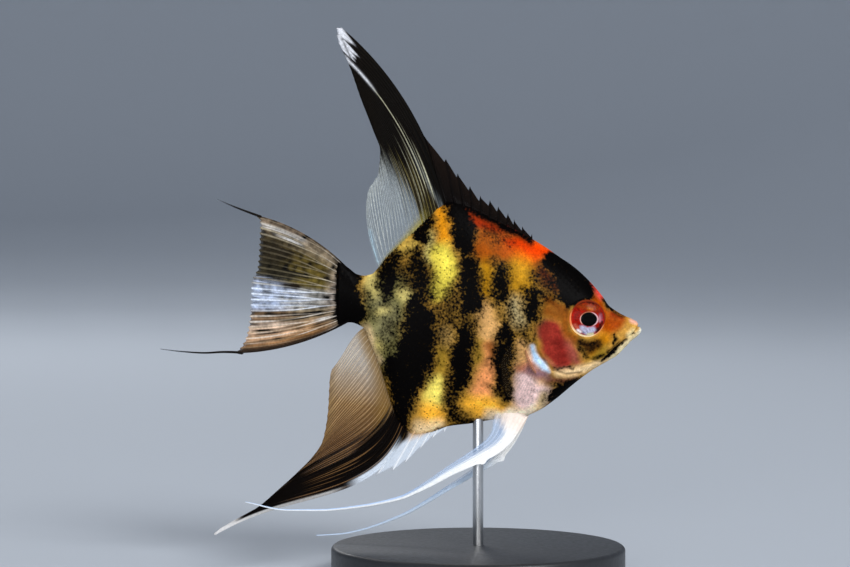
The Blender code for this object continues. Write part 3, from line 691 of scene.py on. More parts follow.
def fin_sheet(name, across, along, spot, half, tint, finish, slot, flat=True):
    """A thin closed fin. spot gives its middle, half its half thickness and tint (colour, cover)."""
    bm, s, t, far = closed_sheet(across, along)
    middle = spot(s, t)
    if flat:
        normal = np.broadcast_to([0.0, 1.0, 0.0], middle.shape)
    else:
        step = 1e-3
        over = spot(np.clip(s + step, 0, 1), t) - spot(np.clip(s - step, 0, 1), t)
        ahead = spot(s, np.clip(t + step, 0, 1)) - spot(s, np.clip(t - step, 0, 1))
        normal = unit(np.cross(over, ahead))
        normal = normal * np.where(normal[:, 1:2] < 0, -1, 1)
    shape_points(bm, middle + normal * (half(s, t) * np.where(far > 0.5, 1, -1))[:, None])
    bmesh.ops.recalc_face_normals(bm, faces=bm.faces)
    obj = new_object(name, bm, finish, slot)
    mesh = obj.data
    s, t = values_of(mesh, "s"), values_of(mesh, "t")
    colour, cover = tint(s, t, *back_and_up(spot(s, t)))
    give(mesh, pigment=np.clip(colour, 0, 1), cover=np.clip(cover, 0, 1))
    return obj


def fan(root, margin, front_bow, rear_bow, skew, sway, comb, rays, edge=1):
    """The place function of a fan fin. Comb is how far the membrane falls short between ray tips.

    Rays bow as the edges do. A larger edge power keeps the bow to the outer rays.
    """
    peak = (1 / (1 + skew)) * (skew / (1 + skew)) ** skew

    def spot(s, t):
        start = root(s)
        tip = margin(s)
        ray = unit(tip - start)
        bow = front_bow * (1 - s) ** edge + rear_bow * s**edge
        across = np.stack([-ray[:, 1], ray[:, 0]], axis=-1)
        short = 1 - comb * np.abs(np.cos(pi * s * rays)) * t**6
        reach = (t * short)[:, None]
        middle = start + (tip - start) * reach
        middle = middle + across * (bow * t * (1 - t) ** skew / peak)[:, None]
        return place(middle[:, 0], middle[:, 1], sway(s, t))

    return spot


def leaning_fan(root, margin, bows, lean, rays):
    """The place function of a soft dorsal or anal fin, whose margin leans to the side."""
    return fan(root, path(margin), *bows, lambda s, t: lean * t * t, 0.012, rays)


def ray_lines(s, t, rays, width=0.075, split=0.16, fork=0.11):
    """1 on each ray and 0 on the membrane. Each ray forks into two, and those fork near the edge."""
    off = np.mod(s * rays, 1.0) - 0.5
    first = 0.25 * ease(split, split + 0.4, t)
    second = fork * ease(0.66, 0.98, t)
    lines = np.zeros_like(s)
    for a in (-1, 1):
        for b in (-1, 1):
            lines = np.maximum(lines, bell(off, a * first + b * second, width))
    return lines


def ray_tones(rays, seed):
    """A function that gives each half of a ray its own tone, from 0 to 1."""
    tones = np.random.default_rng(seed).random(rays * 2 + 2)
    return lambda s: tones[(s * rays * 2).astype(int)]


def fibres(s, t, rays, seed):
    """Noise from 0 to 1, drawn out along the rays."""
    points = np.stack([s * rays * 1.7, t * 2.4, 0 * s], axis=-1)
    return np.clip(rough(points, 1.0, seed) * 1.5 + 0.5, 0, 1)


# Materials.


def node(tree, kind, inputs=None, **settings):
    """Adds a node. inputs maps a socket's name or number to its value or to what feeds it."""
    made = tree.nodes.new(kind)
    for key, value in settings.items():
        setattr(made, key, value)
    for key, value in (inputs or {}).items():
        if isinstance(value, NodeSocket):
            tree.links.new(value, made.inputs[key])
        else:
            made.inputs[key].default_value = value
    return made


def new_finish(name):
    """A new material: (the material, its node tree, its shader)."""
    made = bpy.data.materials.new(name)
    made.use_nodes = True
    return made, made.node_tree, made.node_tree.nodes["Principled BSDF"]


def set_sockets(shader, values):
    for key, value in values.items():
        shader.inputs[key].default_value = value


def millimetres(size):
    """The texture scale whose features are this many millimetres across."""
    return 1000 / size


def stored(tree, name, output="Fac"):
    """The layer of this name that the mesh holds."""
    return node(tree, "ShaderNodeAttribute", attribute_name=name).outputs[output]


def place_on_piece(tree):
    return node(tree, "ShaderNodeTexCoord").outputs["Object"]


def cells(tree, at, size, detail):
    """Noise with features of this size in millimetres."""
    values = {"Vector": at, "Scale": millimetres(size), "Detail": detail}
    return node(tree, "ShaderNodeTexNoise", values).outputs["Fac"]


def between(tree, value, low, high, least=0.0, most=1.0):
    """The value's place from low to high, as a number from least to most."""
    values = {0: value, 1: low, 2: high, 3: least, 4: most}
    return node(tree, "ShaderNodeMapRange", values, clamp=True).outputs[0]


def scaled(tree, colour, factor):
    values = {0: colour, "Scale": factor}
    return node(tree, "ShaderNodeVectorMath", values, operation="SCALE").outputs[0]


def wet_skin(name, bump):
    """Live fish skin: colour cells under clear slime, so the black breaks into single spots."""
    finish, tree, shader = new_finish(name)
    link = tree.links.new
    at = place_on_piece(tree)
    black = stored(tree, "black")

    def math(operation, *values):
        values = dict(enumerate(values))
        return node(tree, "ShaderNodeMath", values, operation=operation).outputs[0]

    # Single black cells are 0.2 to 0.3 mm across.
    uneven = math("MULTIPLY_ADD", cells(tree, at, 0.36, 2.0), 3.0, -1.5)
    blotch = between(tree, math("ADD", black, uneven), 0.0, 0.95)
    blotch = math("MULTIPLY", blotch, between(tree, black, 0.0, 0.2))
    # Scattered spots on the light parts.
    dots = node(tree, "ShaderNodeTexVoronoi", {"Vector": at, "Scale": millimetres(0.5)})
    pick = node(tree, "ShaderNodeSeparateColor", {0: dots.outputs["Color"]})
    some = math("GREATER_THAN", pick.outputs[0], 0.4)
    spots = math("MULTIPLY", between(tree, dots.outputs["Distance"], 0.32, 0.14), some)
    spots = math("MULTIPLY", spots, stored(tree, "pepper"))
    dark = math("MAXIMUM", blotch, math("MULTIPLY", spots, 0.75))

    # The grain of the skin varies its tone, its shine and its height.
    grain = cells(tree, at, 0.3, 3.0)
    lit = scaled(tree, stored(tree, "pigment", "Color"), between(tree, grain, 0.3, 0.7, 0.76, 1.2))
    values = {0: dark, 6: lit, 7: (*linear(COLOURS["black"]), 1)}
    link(node(tree, "ShaderNodeMix", values, data_type="RGBA").outputs[2], shader.inputs["Base Color"])
    link(between(tree, grain, 0.3, 0.7, 0.42, 0.58), shader.inputs["Roughness"])
    pores = node(tree, "ShaderNodeBump", {"Height": grain, "Strength": bump, "Distance": 3e-5})
    link(pores.outputs[0], shader.inputs["Normal"])
    slime = {"Coat Weight": 0.02, "Coat Roughness": 0.26, "Coat IOR": 1.34}
    set_sockets(shader, {**slime, "IOR": 1.36, "Specular IOR Level": 0.02})
    return finish


def fin_membrane(name, uneven=0.26):
    """Fin skin between soft rays: thin, so where it holds no pigment it is nearly clear."""
    finish, tree, shader = new_finish(name)
    # Colour cells of about 0.3 mm lie unevenly over the membrane.
    flecks = cells(tree, place_on_piece(tree), 0.35, 3.0)
    tone = between(tree, flecks, 0.3, 0.7, 1 - uneven, 1 + uneven)
    lit = scaled(tree, stored(tree, "pigment", "Color"), tone)
    tree.links.new(lit, shader.inputs["Base Color"])
    tree.links.new(stored(tree, "cover"), shader.inputs["Alpha"])
    slime = {"Coat Weight": 0.01, "Coat Roughness": 0.25}
    set_sockets(shader, {**slime, "Roughness": 0.5, "IOR": 1.36, "Specular IOR Level": 0.03})
    return finish


def eyeball_finish():
    """The eye: iris cells in colour behind a clear, wet cornea, so it takes one sharp highlight."""
    finish, tree, shader = new_finish("iris_under_clear_cornea")
    tree.links.new(stored(tree, "pigment", "Color"), shader.inputs["Base Color"])
    cornea = {"Coat Weight": 0.05, "Coat Roughness": 0.04}
    set_sockets(shader, {**cornea, "Roughness": 0.5, "Specular IOR Level": 0.03})
    return finish


# Settings that a user would change.


def colour_setting(name, description, code):
    return FloatVectorProperty(
        name=name, description=description, subtype="COLOR", size=3, min=0, max=1, default=linear(code)
    )


class AngelfishColours(PropertyGroup):
    base: colour_setting("Ground", "Colour of the skin between all marks", COLOURS["base"])
    yellow: colour_setting("Yellow", "Bright yellow of the flank", COLOURS["yellow"])
    orange: colour_setting("Orange", "Orange of the back", COLOURS["orange"])
    red: colour_setting("Red", "Red of the back behind the nape", COLOURS["red"])
    cover_red: colour_setting("Gill cover", "Red of the gill cover", COLOURS["cover_red"])
    pink: colour_setting("Chest", "Pink of the chest", COLOURS["pink"])
    iris: colour_setting("Iris", "Red of the iris", "#8E1005")
    paint: colour_setting("Stand paint", "Paint of the stand's base", "#26272A")
    floor: colour_setting("Floor", "Plain floor round the model", "#B4BBC4")


def length_setting(name, description, size):
    return FloatProperty(
        name=name, description=description, default=size, min=0, unit="LENGTH", precision=6
    )


def power_setting(name, description, power):
    return FloatProperty(name=name, description=description, default=power, min=0, unit="POWER")


class AngelfishSizes(PropertyGroup):
    coat_depth: length_setting("Coat depth", "How far the skin lies inside the solids", 0.00005)
    scale_pitch: length_setting("Scale pitch", "Distance between scales in a row", 0.00088)
    ray_thickness: length_setting("Ray thickness", "Thickness of a soft ray at its root", 0.00034)
    membrane_thickness: length_setting("Membrane", "Thickness of a fin between its rays", 0.00011)
    tail_rays: IntProperty(name="Tail rays", description="Number of soft rays in the tail", default=13)
    key_power: power_setting("Key light", "Power of the main light", 19)
    fill_power: power_setting("Fill light", "Power of the fill", 13)
    back_power: power_setting("Back light", "Power from behind", 8)


def skin_colours(context):
    """The palette, with the settings' colours in place of their defaults."""
    palette = {name: linear(code) for name, code in COLOURS.items()}
    for name in ("base", "yellow", "orange", "red", "cover_red", "pink"):
        palette[name] = np.array(getattr(context.scene.angelfish_colours, name))
    return palette


class ANGELFISH_OT_skin(Operator):
    """Lay one seamless skin over head, jaw, gill covers, trunk and tail stalk."""

    bl_idname = "angelfish.skin"
    bl_label = "Skin"

    def execute(self, context):
        depth = context.scene.angelfish_sizes.coat_depth
        bm = closed_tube(*SKIN_STEPS, lambda s, t: skin_point(t, s, -depth)[0])
        skin = new_object("skin", bm, wet_skin("slime_coated_skin", 0.25), "skin")
        mesh = skin.data
        points, back, up = skin_point(values_of(mesh, "t"), values_of(mesh, "s"), -depth)
        pigment, black, pepper = markings(points, back, up, skin_colours(context))
        give(mesh, pigment=pigment, black=black, pepper=pepper)
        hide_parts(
            "head", "lower_jaw", "gill_cover_left", "gill_cover_right", "trunk", "tail_stalk"
        )
        return {"FINISHED"}


class ANGELFISH_OT_scales(Operator):
    """Cover the trunk and nape with overlapping scales, in staggered rows along each flank."""

    bl_idname = "angelfish.scales"
    bl_label = "Scales"

    def execute(self, context):
        sizes = context.scene.angelfish_sizes
        finish = wet_skin("slime_coated_scales", 0.15)
        for name, start in (("scales_left", 0.0), ("scales_right", 0.5)):
            scale_rows(name, start, sizes.scale_pitch, sizes.coat_depth, finish, skin_colours(context))
        return {"FINISHED"}


def plain_scale():
    """One flat closed scale as (s, t, far) for each point, with its faces."""
    bm, s, t, far = closed_sheet(4, 4)
    shape_points(bm, np.stack([s, t, far], axis=-1))
    bmesh.ops.recalc_face_normals(bm, faces=bm.faces)
    bm.verts.ensure_lookup_table()
    bm.verts.index_update()
    points = np.array([vert.co[:] for vert in bm.verts])
    faces = np.array([[vert.index for vert in face.verts] for face in bm.faces])
    bm.free()
    return points, faces


# A scale's length and width and the gap between rows, in pitches. Then its plate's thickness, how
# deep its root lies, how far its free edge rises and how far its sides drop, in metres.
SCALE_LENGTH = 1.55
SCALE_WIDTH = 1.22
ROW_GAP = 0.62
PLATE = 0.000022
ROOT_SINK = 0.00003
EDGE_RISE = 0.000062
CROWN = 0.00001
# Scales start and end at these percent behind the snout, and stay this far from the body's edge.
SCALES_FROM, SCALES_TO = 20, 98.5
EDGE_CLEARANCE = 0.0004


def flank_map(start):
    """(ring_at, reach_at) of one flank, whose start is 0 on the left and 0.5 on the right.

    They measure round each section from the middle of the flank, so that rows keep their pitch.
    """
    shares = np.linspace(0.2, TAIL_CAP, 160)
    rings = start + np.linspace(0.004, 0.496, 160)
    backs = section_back(shares)
    grid = place(*body_place(shares[:, None], rings[None, :]))
    steps = np.linalg.norm(np.diff(grid, axis=1), axis=-1)
    arcs = np.concatenate([np.zeros((len(shares), 1)), np.cumsum(steps, axis=1)], axis=1)
    arcs = arcs - arcs[:, -1:] / 2
    even = np.linspace(-0.024, 0.024, 240)
    table = np.array([np.interp(even, arc, rings) for arc in arcs])

    def ring_at(back, arc):
        share = np.interp(back, backs, shares)
        i = np.clip((share - shares[0]) / (shares[1] - shares[0]), 0, len(shares) - 1.001)
        j = np.clip((arc - even[0]) / (even[1] - even[0]), 0, len(even) - 1.001)
        i0, j0 = i.astype(int), j.astype(int)
        fi, fj = i - i0, j - j0
        near = table[i0, j0] * (1 - fj) + table[i0, j0 + 1] * fj
        far = table[i0 + 1, j0] * (1 - fj) + table[i0 + 1, j0 + 1] * fj
        return share, near * (1 - fi) + far * fi

    def reach_at(back):
        return np.interp(back, backs, arcs[:, -1])

    return ring_at, reach_at


def scale_roots(pitch, reach_at):
    """(back, arc) of each scale, in rows that are shifted by half a scale from one to the next."""
    roots = []
    for row in range(-40, 41):
        arc = row * pitch * ROW_GAP
        for step in range(90):
            back = SCALES_FROM + (step + 0.5 * (row % 2)) * pitch / PERCENT
            if back <= SCALES_TO and abs(arc) <= reach_at(back) - EDGE_CLEARANCE:
                roots.append((back, arc))
    return np.array(roots)


def scale_rows(name, start, pitch, depth, finish, palette):
    """The scales of one flank, as one mesh."""
    random = np.random.default_rng(11 + int(start * 2))
    ring_at, reach_at = flank_map(start)
    roots = scale_roots(pitch, reach_at)
    roots += random.normal(0, 0.02, roots.shape) * [pitch / PERCENT, pitch]
    share, ring = ring_at(roots[:, 0], roots[:, 1])
    # The face and the gill covers have none.
    _, root_up, _ = body_place(share, ring)
    face = chain(roots[:, 0], root_up, ((28, 3, 8), (29, -5, 7), (20, -8, 8), (12, 2, 8)))
    keep = (face > 0.4) & ~((root_up < 12) & (roots[:, 0] < 36.5) & (root_up > -16))
    roots, share, ring = roots[keep], share[keep], ring[keep]

    points, faces = plain_scale()
    s, t, far = points.T
    size = (0.9 + 0.2 * random.random(len(roots)))[:, None]
    small = (0.72 + 0.28 * ease(24, 45, roots[:, 0]) - 0.25 * ease(85, 98, roots[:, 0]))[:, None]
    spread = (2 * s - 1)[None, :]
    length = SCALE_LENGTH * pitch * size * small
    width = SCALE_WIDTH * pitch * size * small
    along = (t[None, :] * (1 - 0.26 * spread**2) - 0.35) * length
    over = spread * width / 2 * (1 - 0.16 * (1 - t[None, :]))
    back = roots[:, :1] + along / PERCENT
    arc = roots[:, 1:] + over
    share_all, ring_all = ring_at(back, arc)
    rise = EDGE_RISE * t[None, :] ** 1.3 - ROOT_SINK - CROWN * spread**2
    thickness = np.where(far[None, :] > 0.5, 0.0, -PLATE)
    place_all, back_all, up_all = skin_point(share_all, ring_all, rise + thickness - depth)
    count, per = share_all.shape
    mesh = bpy.data.meshes.new(name)
    all_faces = (faces[None] + (np.arange(count) * per)[:, None, None]).reshape(-1, 4)
    mesh.from_pydata(place_all.reshape(-1, 3), [], all_faces)
    layer = mesh.uv_layers.new(name="OFBake")
    patch = 0.003
    u = (ring[:, None] + (s[None, :] - 0.5) * patch).ravel()
    v = (share[:, None] + (t[None, :] - 0.5) * patch).ravel()
    layer.data.foreach_set("uv", np.stack([u, v], axis=-1)[all_faces.ravel()].ravel())
    flat = place_all.reshape(-1, 3)
    pigment, black, pepper = markings(flat, back_all.ravel(), up_all.ravel(), palette)
    # Each scale's free edge is a little lighter, as a painted highlight, and its root darker, as painted
    # shade where the scale before it lies over it.
    shade = np.broadcast_to(0.92 + 0.14 * t[None, :] ** 2, share_all.shape).ravel()
    give(mesh, pigment=np.clip(pigment * shade[:, None], 0, 1), black=black, pepper=pepper)
    bm = bmesh.new()
    bm.from_mesh(mesh)
    bmesh.ops.recalc_face_normals(bm, faces=bm.faces)
    # The rim stays a crisp edge, so that each scale's top shades as the flat plate it is.
    for bend in bm.edges:
        bend.smooth = bend.calc_face_angle(0) < 0.9
    new_object(name, bm, finish, "skin")


class ANGELFISH_OT_eyes(Operator):
    """Make both eyes: pupil, silver ring, red iris and pale outer rim under one cornea."""

    bl_idname = "angelfish.eyes"
    bl_label = "Eyes"

    def execute(self, context):
        finish = eyeball_finish()
        for name, side in (("right", -1), ("left", 1)):
            eyeball(name, side, np.array(context.scene.angelfish_colours.iris), finish)
        return {"FINISHED"}


def eyeball(name, side, red, finish):
    """A flattened ball whose mesh is finest on its outer side, where the pupil and the iris lie."""
    polar = smooth((0, 0.85, 1), (0, pi / 2, pi))

    def spot(s, t):
        angle = polar(t)
        turn = 2 * pi * s
        local = np.stack(
            [
                np.sin(angle) * np.cos(turn) * EYE_BALL,
                np.cos(angle) * EYE_DEPTH * side,
                np.sin(angle) * np.sin(turn) * EYE_BALL,
            ],
            axis=-1,
        )
        yaw = np.array(Matrix.Rotation(-side * EYE_YAW, 3, "Z"))
        return local @ yaw.T * PERCENT + place(*EYE, side * EYE_OUT)

    bm = closed_tube(*EYE_STEPS, spot)
    eye = new_object("eye_" + name + "_ball", bm, finish, "eye")
    mesh = eye.data
    back, up = back_and_up(spot(values_of(mesh, "s"), values_of(mesh, "t")))
    give(mesh, pigment=iris_colours(back, up, red))
    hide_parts("eye_" + name)


# Colour cells of the iris, painted in this order: the colour, the width of the edge, and a chain of
# circles (ahead of the eye's middle, above it, radius).
IRIS_MARKS = (
    ("#7E2C06", 0.9, (-2.2, 4.4, 1.1), (0.5, 4.3, 1.2), (3.4, 3.7, 1.1)),
    ("#B05A06", 0.7, (0.7, 3.6, 0.4), (1.7, 3.4, 0.4)),
    # The dark band along the very top is painted shade under the brow.
    ("#40120A", 0.5, (-3.8, 5.2, 0.4), (0, 6.1, 0.5), (3.8, 5.0, 0.4)),
    ("#7C1004", 0.7, (-2.6, 3.2, 0.6), (-3.5, 1.2, 0.4), (-3.3, -0.8, 0.2)),
    ("#B41804", 0.6, (-4.7, 1.8, 0.3), (-4.9, -0.6, 0.4)),
    ("#C2604A", 0.7, (-3.9, -1.9, 0.4), (-3.0, -2.9, 0.5)),
    ("#6A1A0C", 0.8, (3.9, 2.8, 0.7), (4.9, 1.7, 0.6)),
    ("#98505C", 0.6, (4.6, 1.4, 0.5), (4.7, -0.3, 0.6)),
    ("#BE929A", 0.35, (4.35, 1.0, 0.12), (4.5, -0.7, 0.12)),
    ("#3C0E06", 0.5, (5.2, -1.0, 0.4), (4.6, -2.4, 0.6), (3.5, -3.6, 0.7)),
    ("#ABAAC2", 0.5, (-1.5, -2.7, 0.8), (0.1, -3.8, 1.2), (2.0, -3.3, 1.0)),
    ("#84849C", 0.4, (-1.1, -4.2, 0.2), (0.4, -4.1, 0.2)),
    # A painted highlight: a small white glint low at the back of the iris.
    ("#F2E6E8", 0.35, (-2.8, -3.5, 0.4), (-2.0, -4.1, 0.35)),
    ("#CFCCA0", 0.5, (0.5, -5.0, 0.4), (2.1, -4.8, 0.4)),
)  # fmt: skip


def iris_colours(back, up, red):
    """The eye's colours by place: pupil, its thin ring, the iris and the pale outer rim."""
    ahead, above = EYE[0] - back, up - EYE[1]
    rim = np.hypot(ahead - 0.45, above - 0.4)
    around = np.arctan2(above, ahead)
    front, top, foot = np.cos(around), np.sin(around), -np.sin(around)
    uneven = rough(np.stack([ahead, above, 0 * ahead], axis=-1), 0.5, 21)
    iris = np.broadcast_to(red, (*np.shape(back), 3))
    for code, soft, *circles in IRIS_MARKS:
        inside = chain(ahead, above, tuple(circles)) + 0.35 * uneven
        iris = blend(iris, code, ease(soft, -soft, inside))
    iris = iris * (1 + 0.5 * uneven + 0.1 * np.sin(around * 61 + 3 * np.sin(around * 9)))[:, None]
    # The pupil is an oval, drawn to a point in front. Its ring is broad in front and lost below.
    dx = (ahead - PUPIL_MIDDLE[0]) / PUPIL_HALF[0]
    dy = (above - PUPIL_MIDDLE[1]) / PUPIL_HALF[1]
    away = np.hypot(dx, dy * (1 + 0.12 * np.clip(dx, 0, 1) ** 2))
    wide = 0.13 + 0.1 * ease(0.5, 1.0, front)
    # The ring darkens above: painted shade under the brow.
    ring = blend("#DCA498", "#A8664A", ease(0.2, 0.9, top))
    ring = blend(ring, "#C8A0A4", ease(0.4, 0.9, front))
    colour = blend(iris, ring, ease(1 + wide, 1 + wide * 0.6, away) * ease(0.85, 0.5, foot))
    colour = blend(colour, "#010101", ease(1.03, 0.98, away))
    # The pale rim is orange behind and brightest below, and fades in front; above it darkens with painted
    # shade under the brow.
    bright = np.maximum(ease(-0.1, 0.4, -front) * ease(0.7, 0.2, top), ease(0.2, 0.6, foot))
    pale = blend("#7A2C12", "#F49058", bright)
    pale = blend(pale, "#FFE6B4", bright * ease(0.2, 0.7, foot) * ease(0.75, 0.3, front))
    pale = blend(pale, "#E4A070", ease(0.35, 0.75, front) * ease(0.2, 0.5, foot))
    width = 5.58 + 0.12 * ease(0.3, 0.9, foot)
    return np.clip(blend(colour, pale, ease(width - 0.15, width + 0.15, rim)), 0, 1)


class ANGELFISH_OT_dorsal_fin(Operator):
    """Make the dorsal fin: black spines in front, then soft rays that fade from black to clear."""

    bl_idname = "angelfish.dorsal_fin"
    bl_label = "Dorsal fin"

    def execute(self, context):
        sizes = context.scene.angelfish_sizes
        finish = fin_membrane("dorsal_fin_membrane")
        spines = spiny_fin("dorsal_spines", DORSAL_SPINES, back_line, DORSAL_SPINES_BASE, finish, sizes)
        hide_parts("dorsal_fin_spines")
        rays = 24
        root = edge_path(back_line, *DORSAL_RAYS_ROOT, -1.6)
        spot = leaning_fan(root, DORSAL_MARGIN, DORSAL_BOWS, DORSAL_LEAN, rays)
        half = ray_thickness(rays, sizes)
        soft = fin_sheet("dorsal_rays", rays * 16, 64, spot, half, dorsal_tint(rays), finish, "dark_fin")
        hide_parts("dorsal_fin_rays")
        return {"FINISHED"}


def ray_thickness(rays, sizes):
    """Half the thickness over a fin of this many soft rays, which taper to the margin."""

    def half(s, t):
        ray = sizes.ray_thickness * (1 - 0.62 * t)
        skin = sizes.membrane_thickness * (1.6 - 0.8 * t)
        root = 0.0006 * np.exp(-t / 0.05)
        return (skin + (ray - skin) * ray_lines(s, t, rays) + root) / 2

    return half


def spiny_fin(name, tips, line, base, finish, sizes):
    """A row of spines joined by membrane that drops behind each tip."""
    root = edge_path(line, *base, -1.4)
    edge = path(tips, even=True)
    count = len(tips) - 1

    def height(s):
        behind = np.mod(s * count, 1.0)
        drop = np.minimum(2.5 / np.linalg.norm(edge(s) - root(s), axis=-1), 0.48)
        return 1 - drop * np.minimum(behind * 5, 1 - 0.8 * behind)

    def spot(s, t):
        foot = root(s)
        point = foot + (edge(s) - foot) * (t * height(s))[:, None]
        return place(point[:, 0], point[:, 1])

    def spine(s, t):
        behind = np.mod(s * count + 0.5, 1.0) - 0.5
        return bell(behind, 0, 0.1)

    def half(s, t):
        thick = sizes.ray_thickness * (1.25 - 0.7 * t)
        skin = sizes.membrane_thickness * (1.5 - 0.5 * t)
        root_skin = 0.0008 * np.exp(-t / 0.12)
        return (skin + (thick - skin) * spine(s, t) + root_skin) / 2

    dorsal = line is back_line

    def tint(s, t, back, up):
        if dorsal:
            colour = blend("#060404", "#20140C", 0.4 * (1 - spine(s, t)) * t)
            red = ease(46, 36, back) * ease(0.45, 0.1, t)
            return blend(colour, "#8A2A08", red), 0.995 - 0.03 * t
        colour = blend("#DCE6F2", "#F4F6F8", spine(s, t))
        peach = ease(0.35, 0.05, t)
        colour = blend(colour, "#E8C090", peach)
        black = ease(0.86, 0.98, s + 0.06 * np.sin(t * 9)) * ease(0.6, 0.3, t)
        colour = blend(colour, "#100B08", black)
        return colour, np.maximum(0.42 + 0.45 * spine(s, t), black)

    return fin_sheet(
        name, count * 12, 16, spot, half, tint, finish, "dark_fin" if dorsal else "brown_fin"
    )


# Pale rays in the dorsal fin: place, width, where each starts and ends, and strength.
DORSAL_PALE_RAYS = (
    (0.125, 0.007, 0.05, 0.42, 0.95),
    (0.155, 0.003, 0.10, 0.60, 0.50),
    (0.185, 0.005, 0.12, 1.10, 0.75),
    (0.225, 0.004, 0.10, 0.62, 0.55),
    (0.26, 0.004, 0.08, 0.50, 0.45),
    (0.30, 0.004, 0.05, 0.60, 0.40),
)


def dorsal_tint(rays):
    ray_tone = ray_tones(rays, 3)

    def tint(s, t, back, up):
        lines = ray_lines(s, t, rays)
        tone = ray_tone(s)
        # How far a place lies behind the black, which narrows towards the tip.
        behind = (back - 66) * 0.88 - (up - 42) * 0.475
        fibre = fibres(s, t, rays, 13)
        front = ease(2.6, -0.8, behind + 1.2 * (tone - 0.5))
        top = ease(50, 61, up + 8 * (fibre - 0.5))
        dark = np.maximum(front, top)
        bronze = ease(13, 4, behind + 3 * (fibre - 0.5))
        clear = (1 - dark) * (1 - bronze)
        bronze = bronze * (1 - front)
        membrane = blend("#8E989C", "#221C0C", np.clip(bronze * 1.3, 0, 1))
        membrane = blend(membrane, "#060504", dark)
        rib = blend("#C2C6C0", "#6E6436", bronze)
        rib = blend(rib, "#120D08", dark)
        colour = blend(membrane, rib, lines)
        cover = 0.95 + 0.045 * dark - 0.72 * clear
        cover = cover + (0.16 + 0.16 * tone + 0.2 * fibre) * lines * clear
        # Olive yellow at the foot of the rear rays, and a painted blue glint at the very rear.
        foot = ease(0.12, 0.02, t) * ease(0.2, 0.4, s)
        colour = blend(colour, "#9C8E34", foot * 0.8)
        cover = np.maximum(cover, foot * 0.85)
        blue_glint = stroke(back, up, ((87.5, 23), (90, 33)), 0.8, 0.75) * (0.4 + 0.6 * lines)
        colour = blend(colour, "#B8E0F4", blue_glint)
        cover = np.maximum(cover, 0.75 * blue_glint)
        # Pale rays down the middle of the black.
        pale = np.zeros_like(s)
        for ray, width, low, high, strength in DORSAL_PALE_RAYS:
            along = ease(low, low + 0.08, t) * ease(high, high - 0.25, t)
            pale = np.maximum(pale, strength * along * bell(s, ray, width))
        colour = blend(colour, "#C9C6A8", pale)
        # The tip is white in streaks, with black between them.
        tip = chain(back, up, ((101, 102, 1.4), (99, 96, 1.6), (96.6, 92, 0.9)))
        white = ease(1.2, -0.6, tip + 1.6 * (tone - 0.5) + 2.4 * (fibre - 0.5))
        white = white * (1 - stroke(back, up, ((99.6, 98), (97.6, 93.5), (95.5, 89)), 0.3, 0.85))
        white = np.maximum(white, 0.95 * bell(s, 0.182, 0.016) * ease(0.72, 0.86, t))
        colour = blend(colour, "#E4E6EC", white)
        cover = cover * (1 - 0.4 * white * (1 - 0.6 * lines))
        return colour, cover

    return tint


class ANGELFISH_OT_anal_fin(Operator):
    """Make the anal fin: a white front strip, a black sweep, and brown rays that clear behind."""

    bl_idname = "angelfish.anal_fin"
    bl_label = "Anal fin"

    def execute(self, context):
        sizes = context.scene.angelfish_sizes
        pale = fin_membrane("anal_spine_membrane", 0.06)
        spines = spiny_fin("anal_spines", ANAL_SPINES, belly_line, ANAL_SPINES_BASE, pale, sizes)
        finish = fin_membrane("anal_fin_membrane", 0.1)
        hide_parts("anal_fin_spines")
        rays = 26
        root = edge_path(belly_line, *ANAL_RAYS_ROOT, -1.6)
        spot = leaning_fan(root, ANAL_MARGIN, ANAL_BOWS, ANAL_LEAN, rays)
        half = ray_thickness(rays, sizes)
        soft = fin_sheet("anal_rays", rays * 14, 70, spot, half, anal_tint(rays), finish, "brown_fin")
        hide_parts("anal_fin_rays")
        return {"FINISHED"}


def anal_tint(rays):
    ray_tone = ray_tones(rays, 4)

    def tint(s, t, back, up):
        lines = ray_lines(s, t, rays)
        tone = ray_tone(s)
        # The black sweeps from the body's rear mass down to the tip, and fills the lower third.
        sweep = chain(back, up, ((80, -30, 4.5), (86, -38, 5.5), (94, -44.6, 5.3), (103, -48.2, 5.2),
                                 (113, -50.2, 5.5), (122, -56, 4.0), (131, -62.5, 3)))  # fmt: skip
        fibre = fibres(s, t, rays, 14)
        black = ease(2.6, -1.2, sweep + 2.0 * (tone - 0.5) + 3.0 * (fibre - 0.5))
        high = up + 0.16 * (100 - back)
        clear = ease(-24, -6, high)
        margin = ease(0.7, 1.0, t)
        membrane = ramp(high, (-46, "#34200E"), (-36, "#442C14"), (-24, "#6E502C"), (-8, "#A8967C"))
        membrane = blend(membrane, "#3E2A16", margin * 0.75 * (1 - 0.6 * clear))
        membrane = blend(membrane, "#7A5C26", ease(0.3, 0.1, t) * 0.7)
        membrane = blend(membrane, "#080504", black)
        rib = ramp(high, (-46, "#84603A"), (-36, "#A67E52"), (-24, "#CCA878"), (-8, "#DCD0C0"))
        rib = blend(rib, "#A08048", 0.5 * np.maximum(ease(0.3, 0.1, t), margin))
        brown = ease(0.42, 0.8, fibre) * ease(114, 102, back)
        rib = blend(rib, blend("#080504", "#84603A", brown), black)
        colour = blend(membrane, rib, lines * (0.3 + 0.35 * tone + 0.4 * fibre))
        cover = 0.88 - (0.5 - 0.25 * margin) * clear * ease(0.1, 0.3, t) + 0.26 * lines * clear
        cover = np.maximum(cover, 0.995 * black)
        # The first rays are white along the front edge, and the tip is a white thread.
        white = ease(0.03, 0.012, s) * ease(0.36, 0.46, t) * (0.35 + 0.65 * fibre)
        white = np.maximum(white, ease(132, 136, back))
        colour = blend(colour, "#E4E2E0", white)
        cover = np.maximum(cover * (1 - 0.3 * white), 0.3)
        # The bluish white strip in front of the first rays.
        strip = ease(0.06, 0.035, s + 0.012 * (tone - 0.5)) * ease(0.04, 0.12, t) * ease(0.38, 0.28, t)
        colour = blend(colour, "#DCE6F2", strip)
        cover = cover * (1 - 0.4 * strip)
        return colour, cover

    return tint


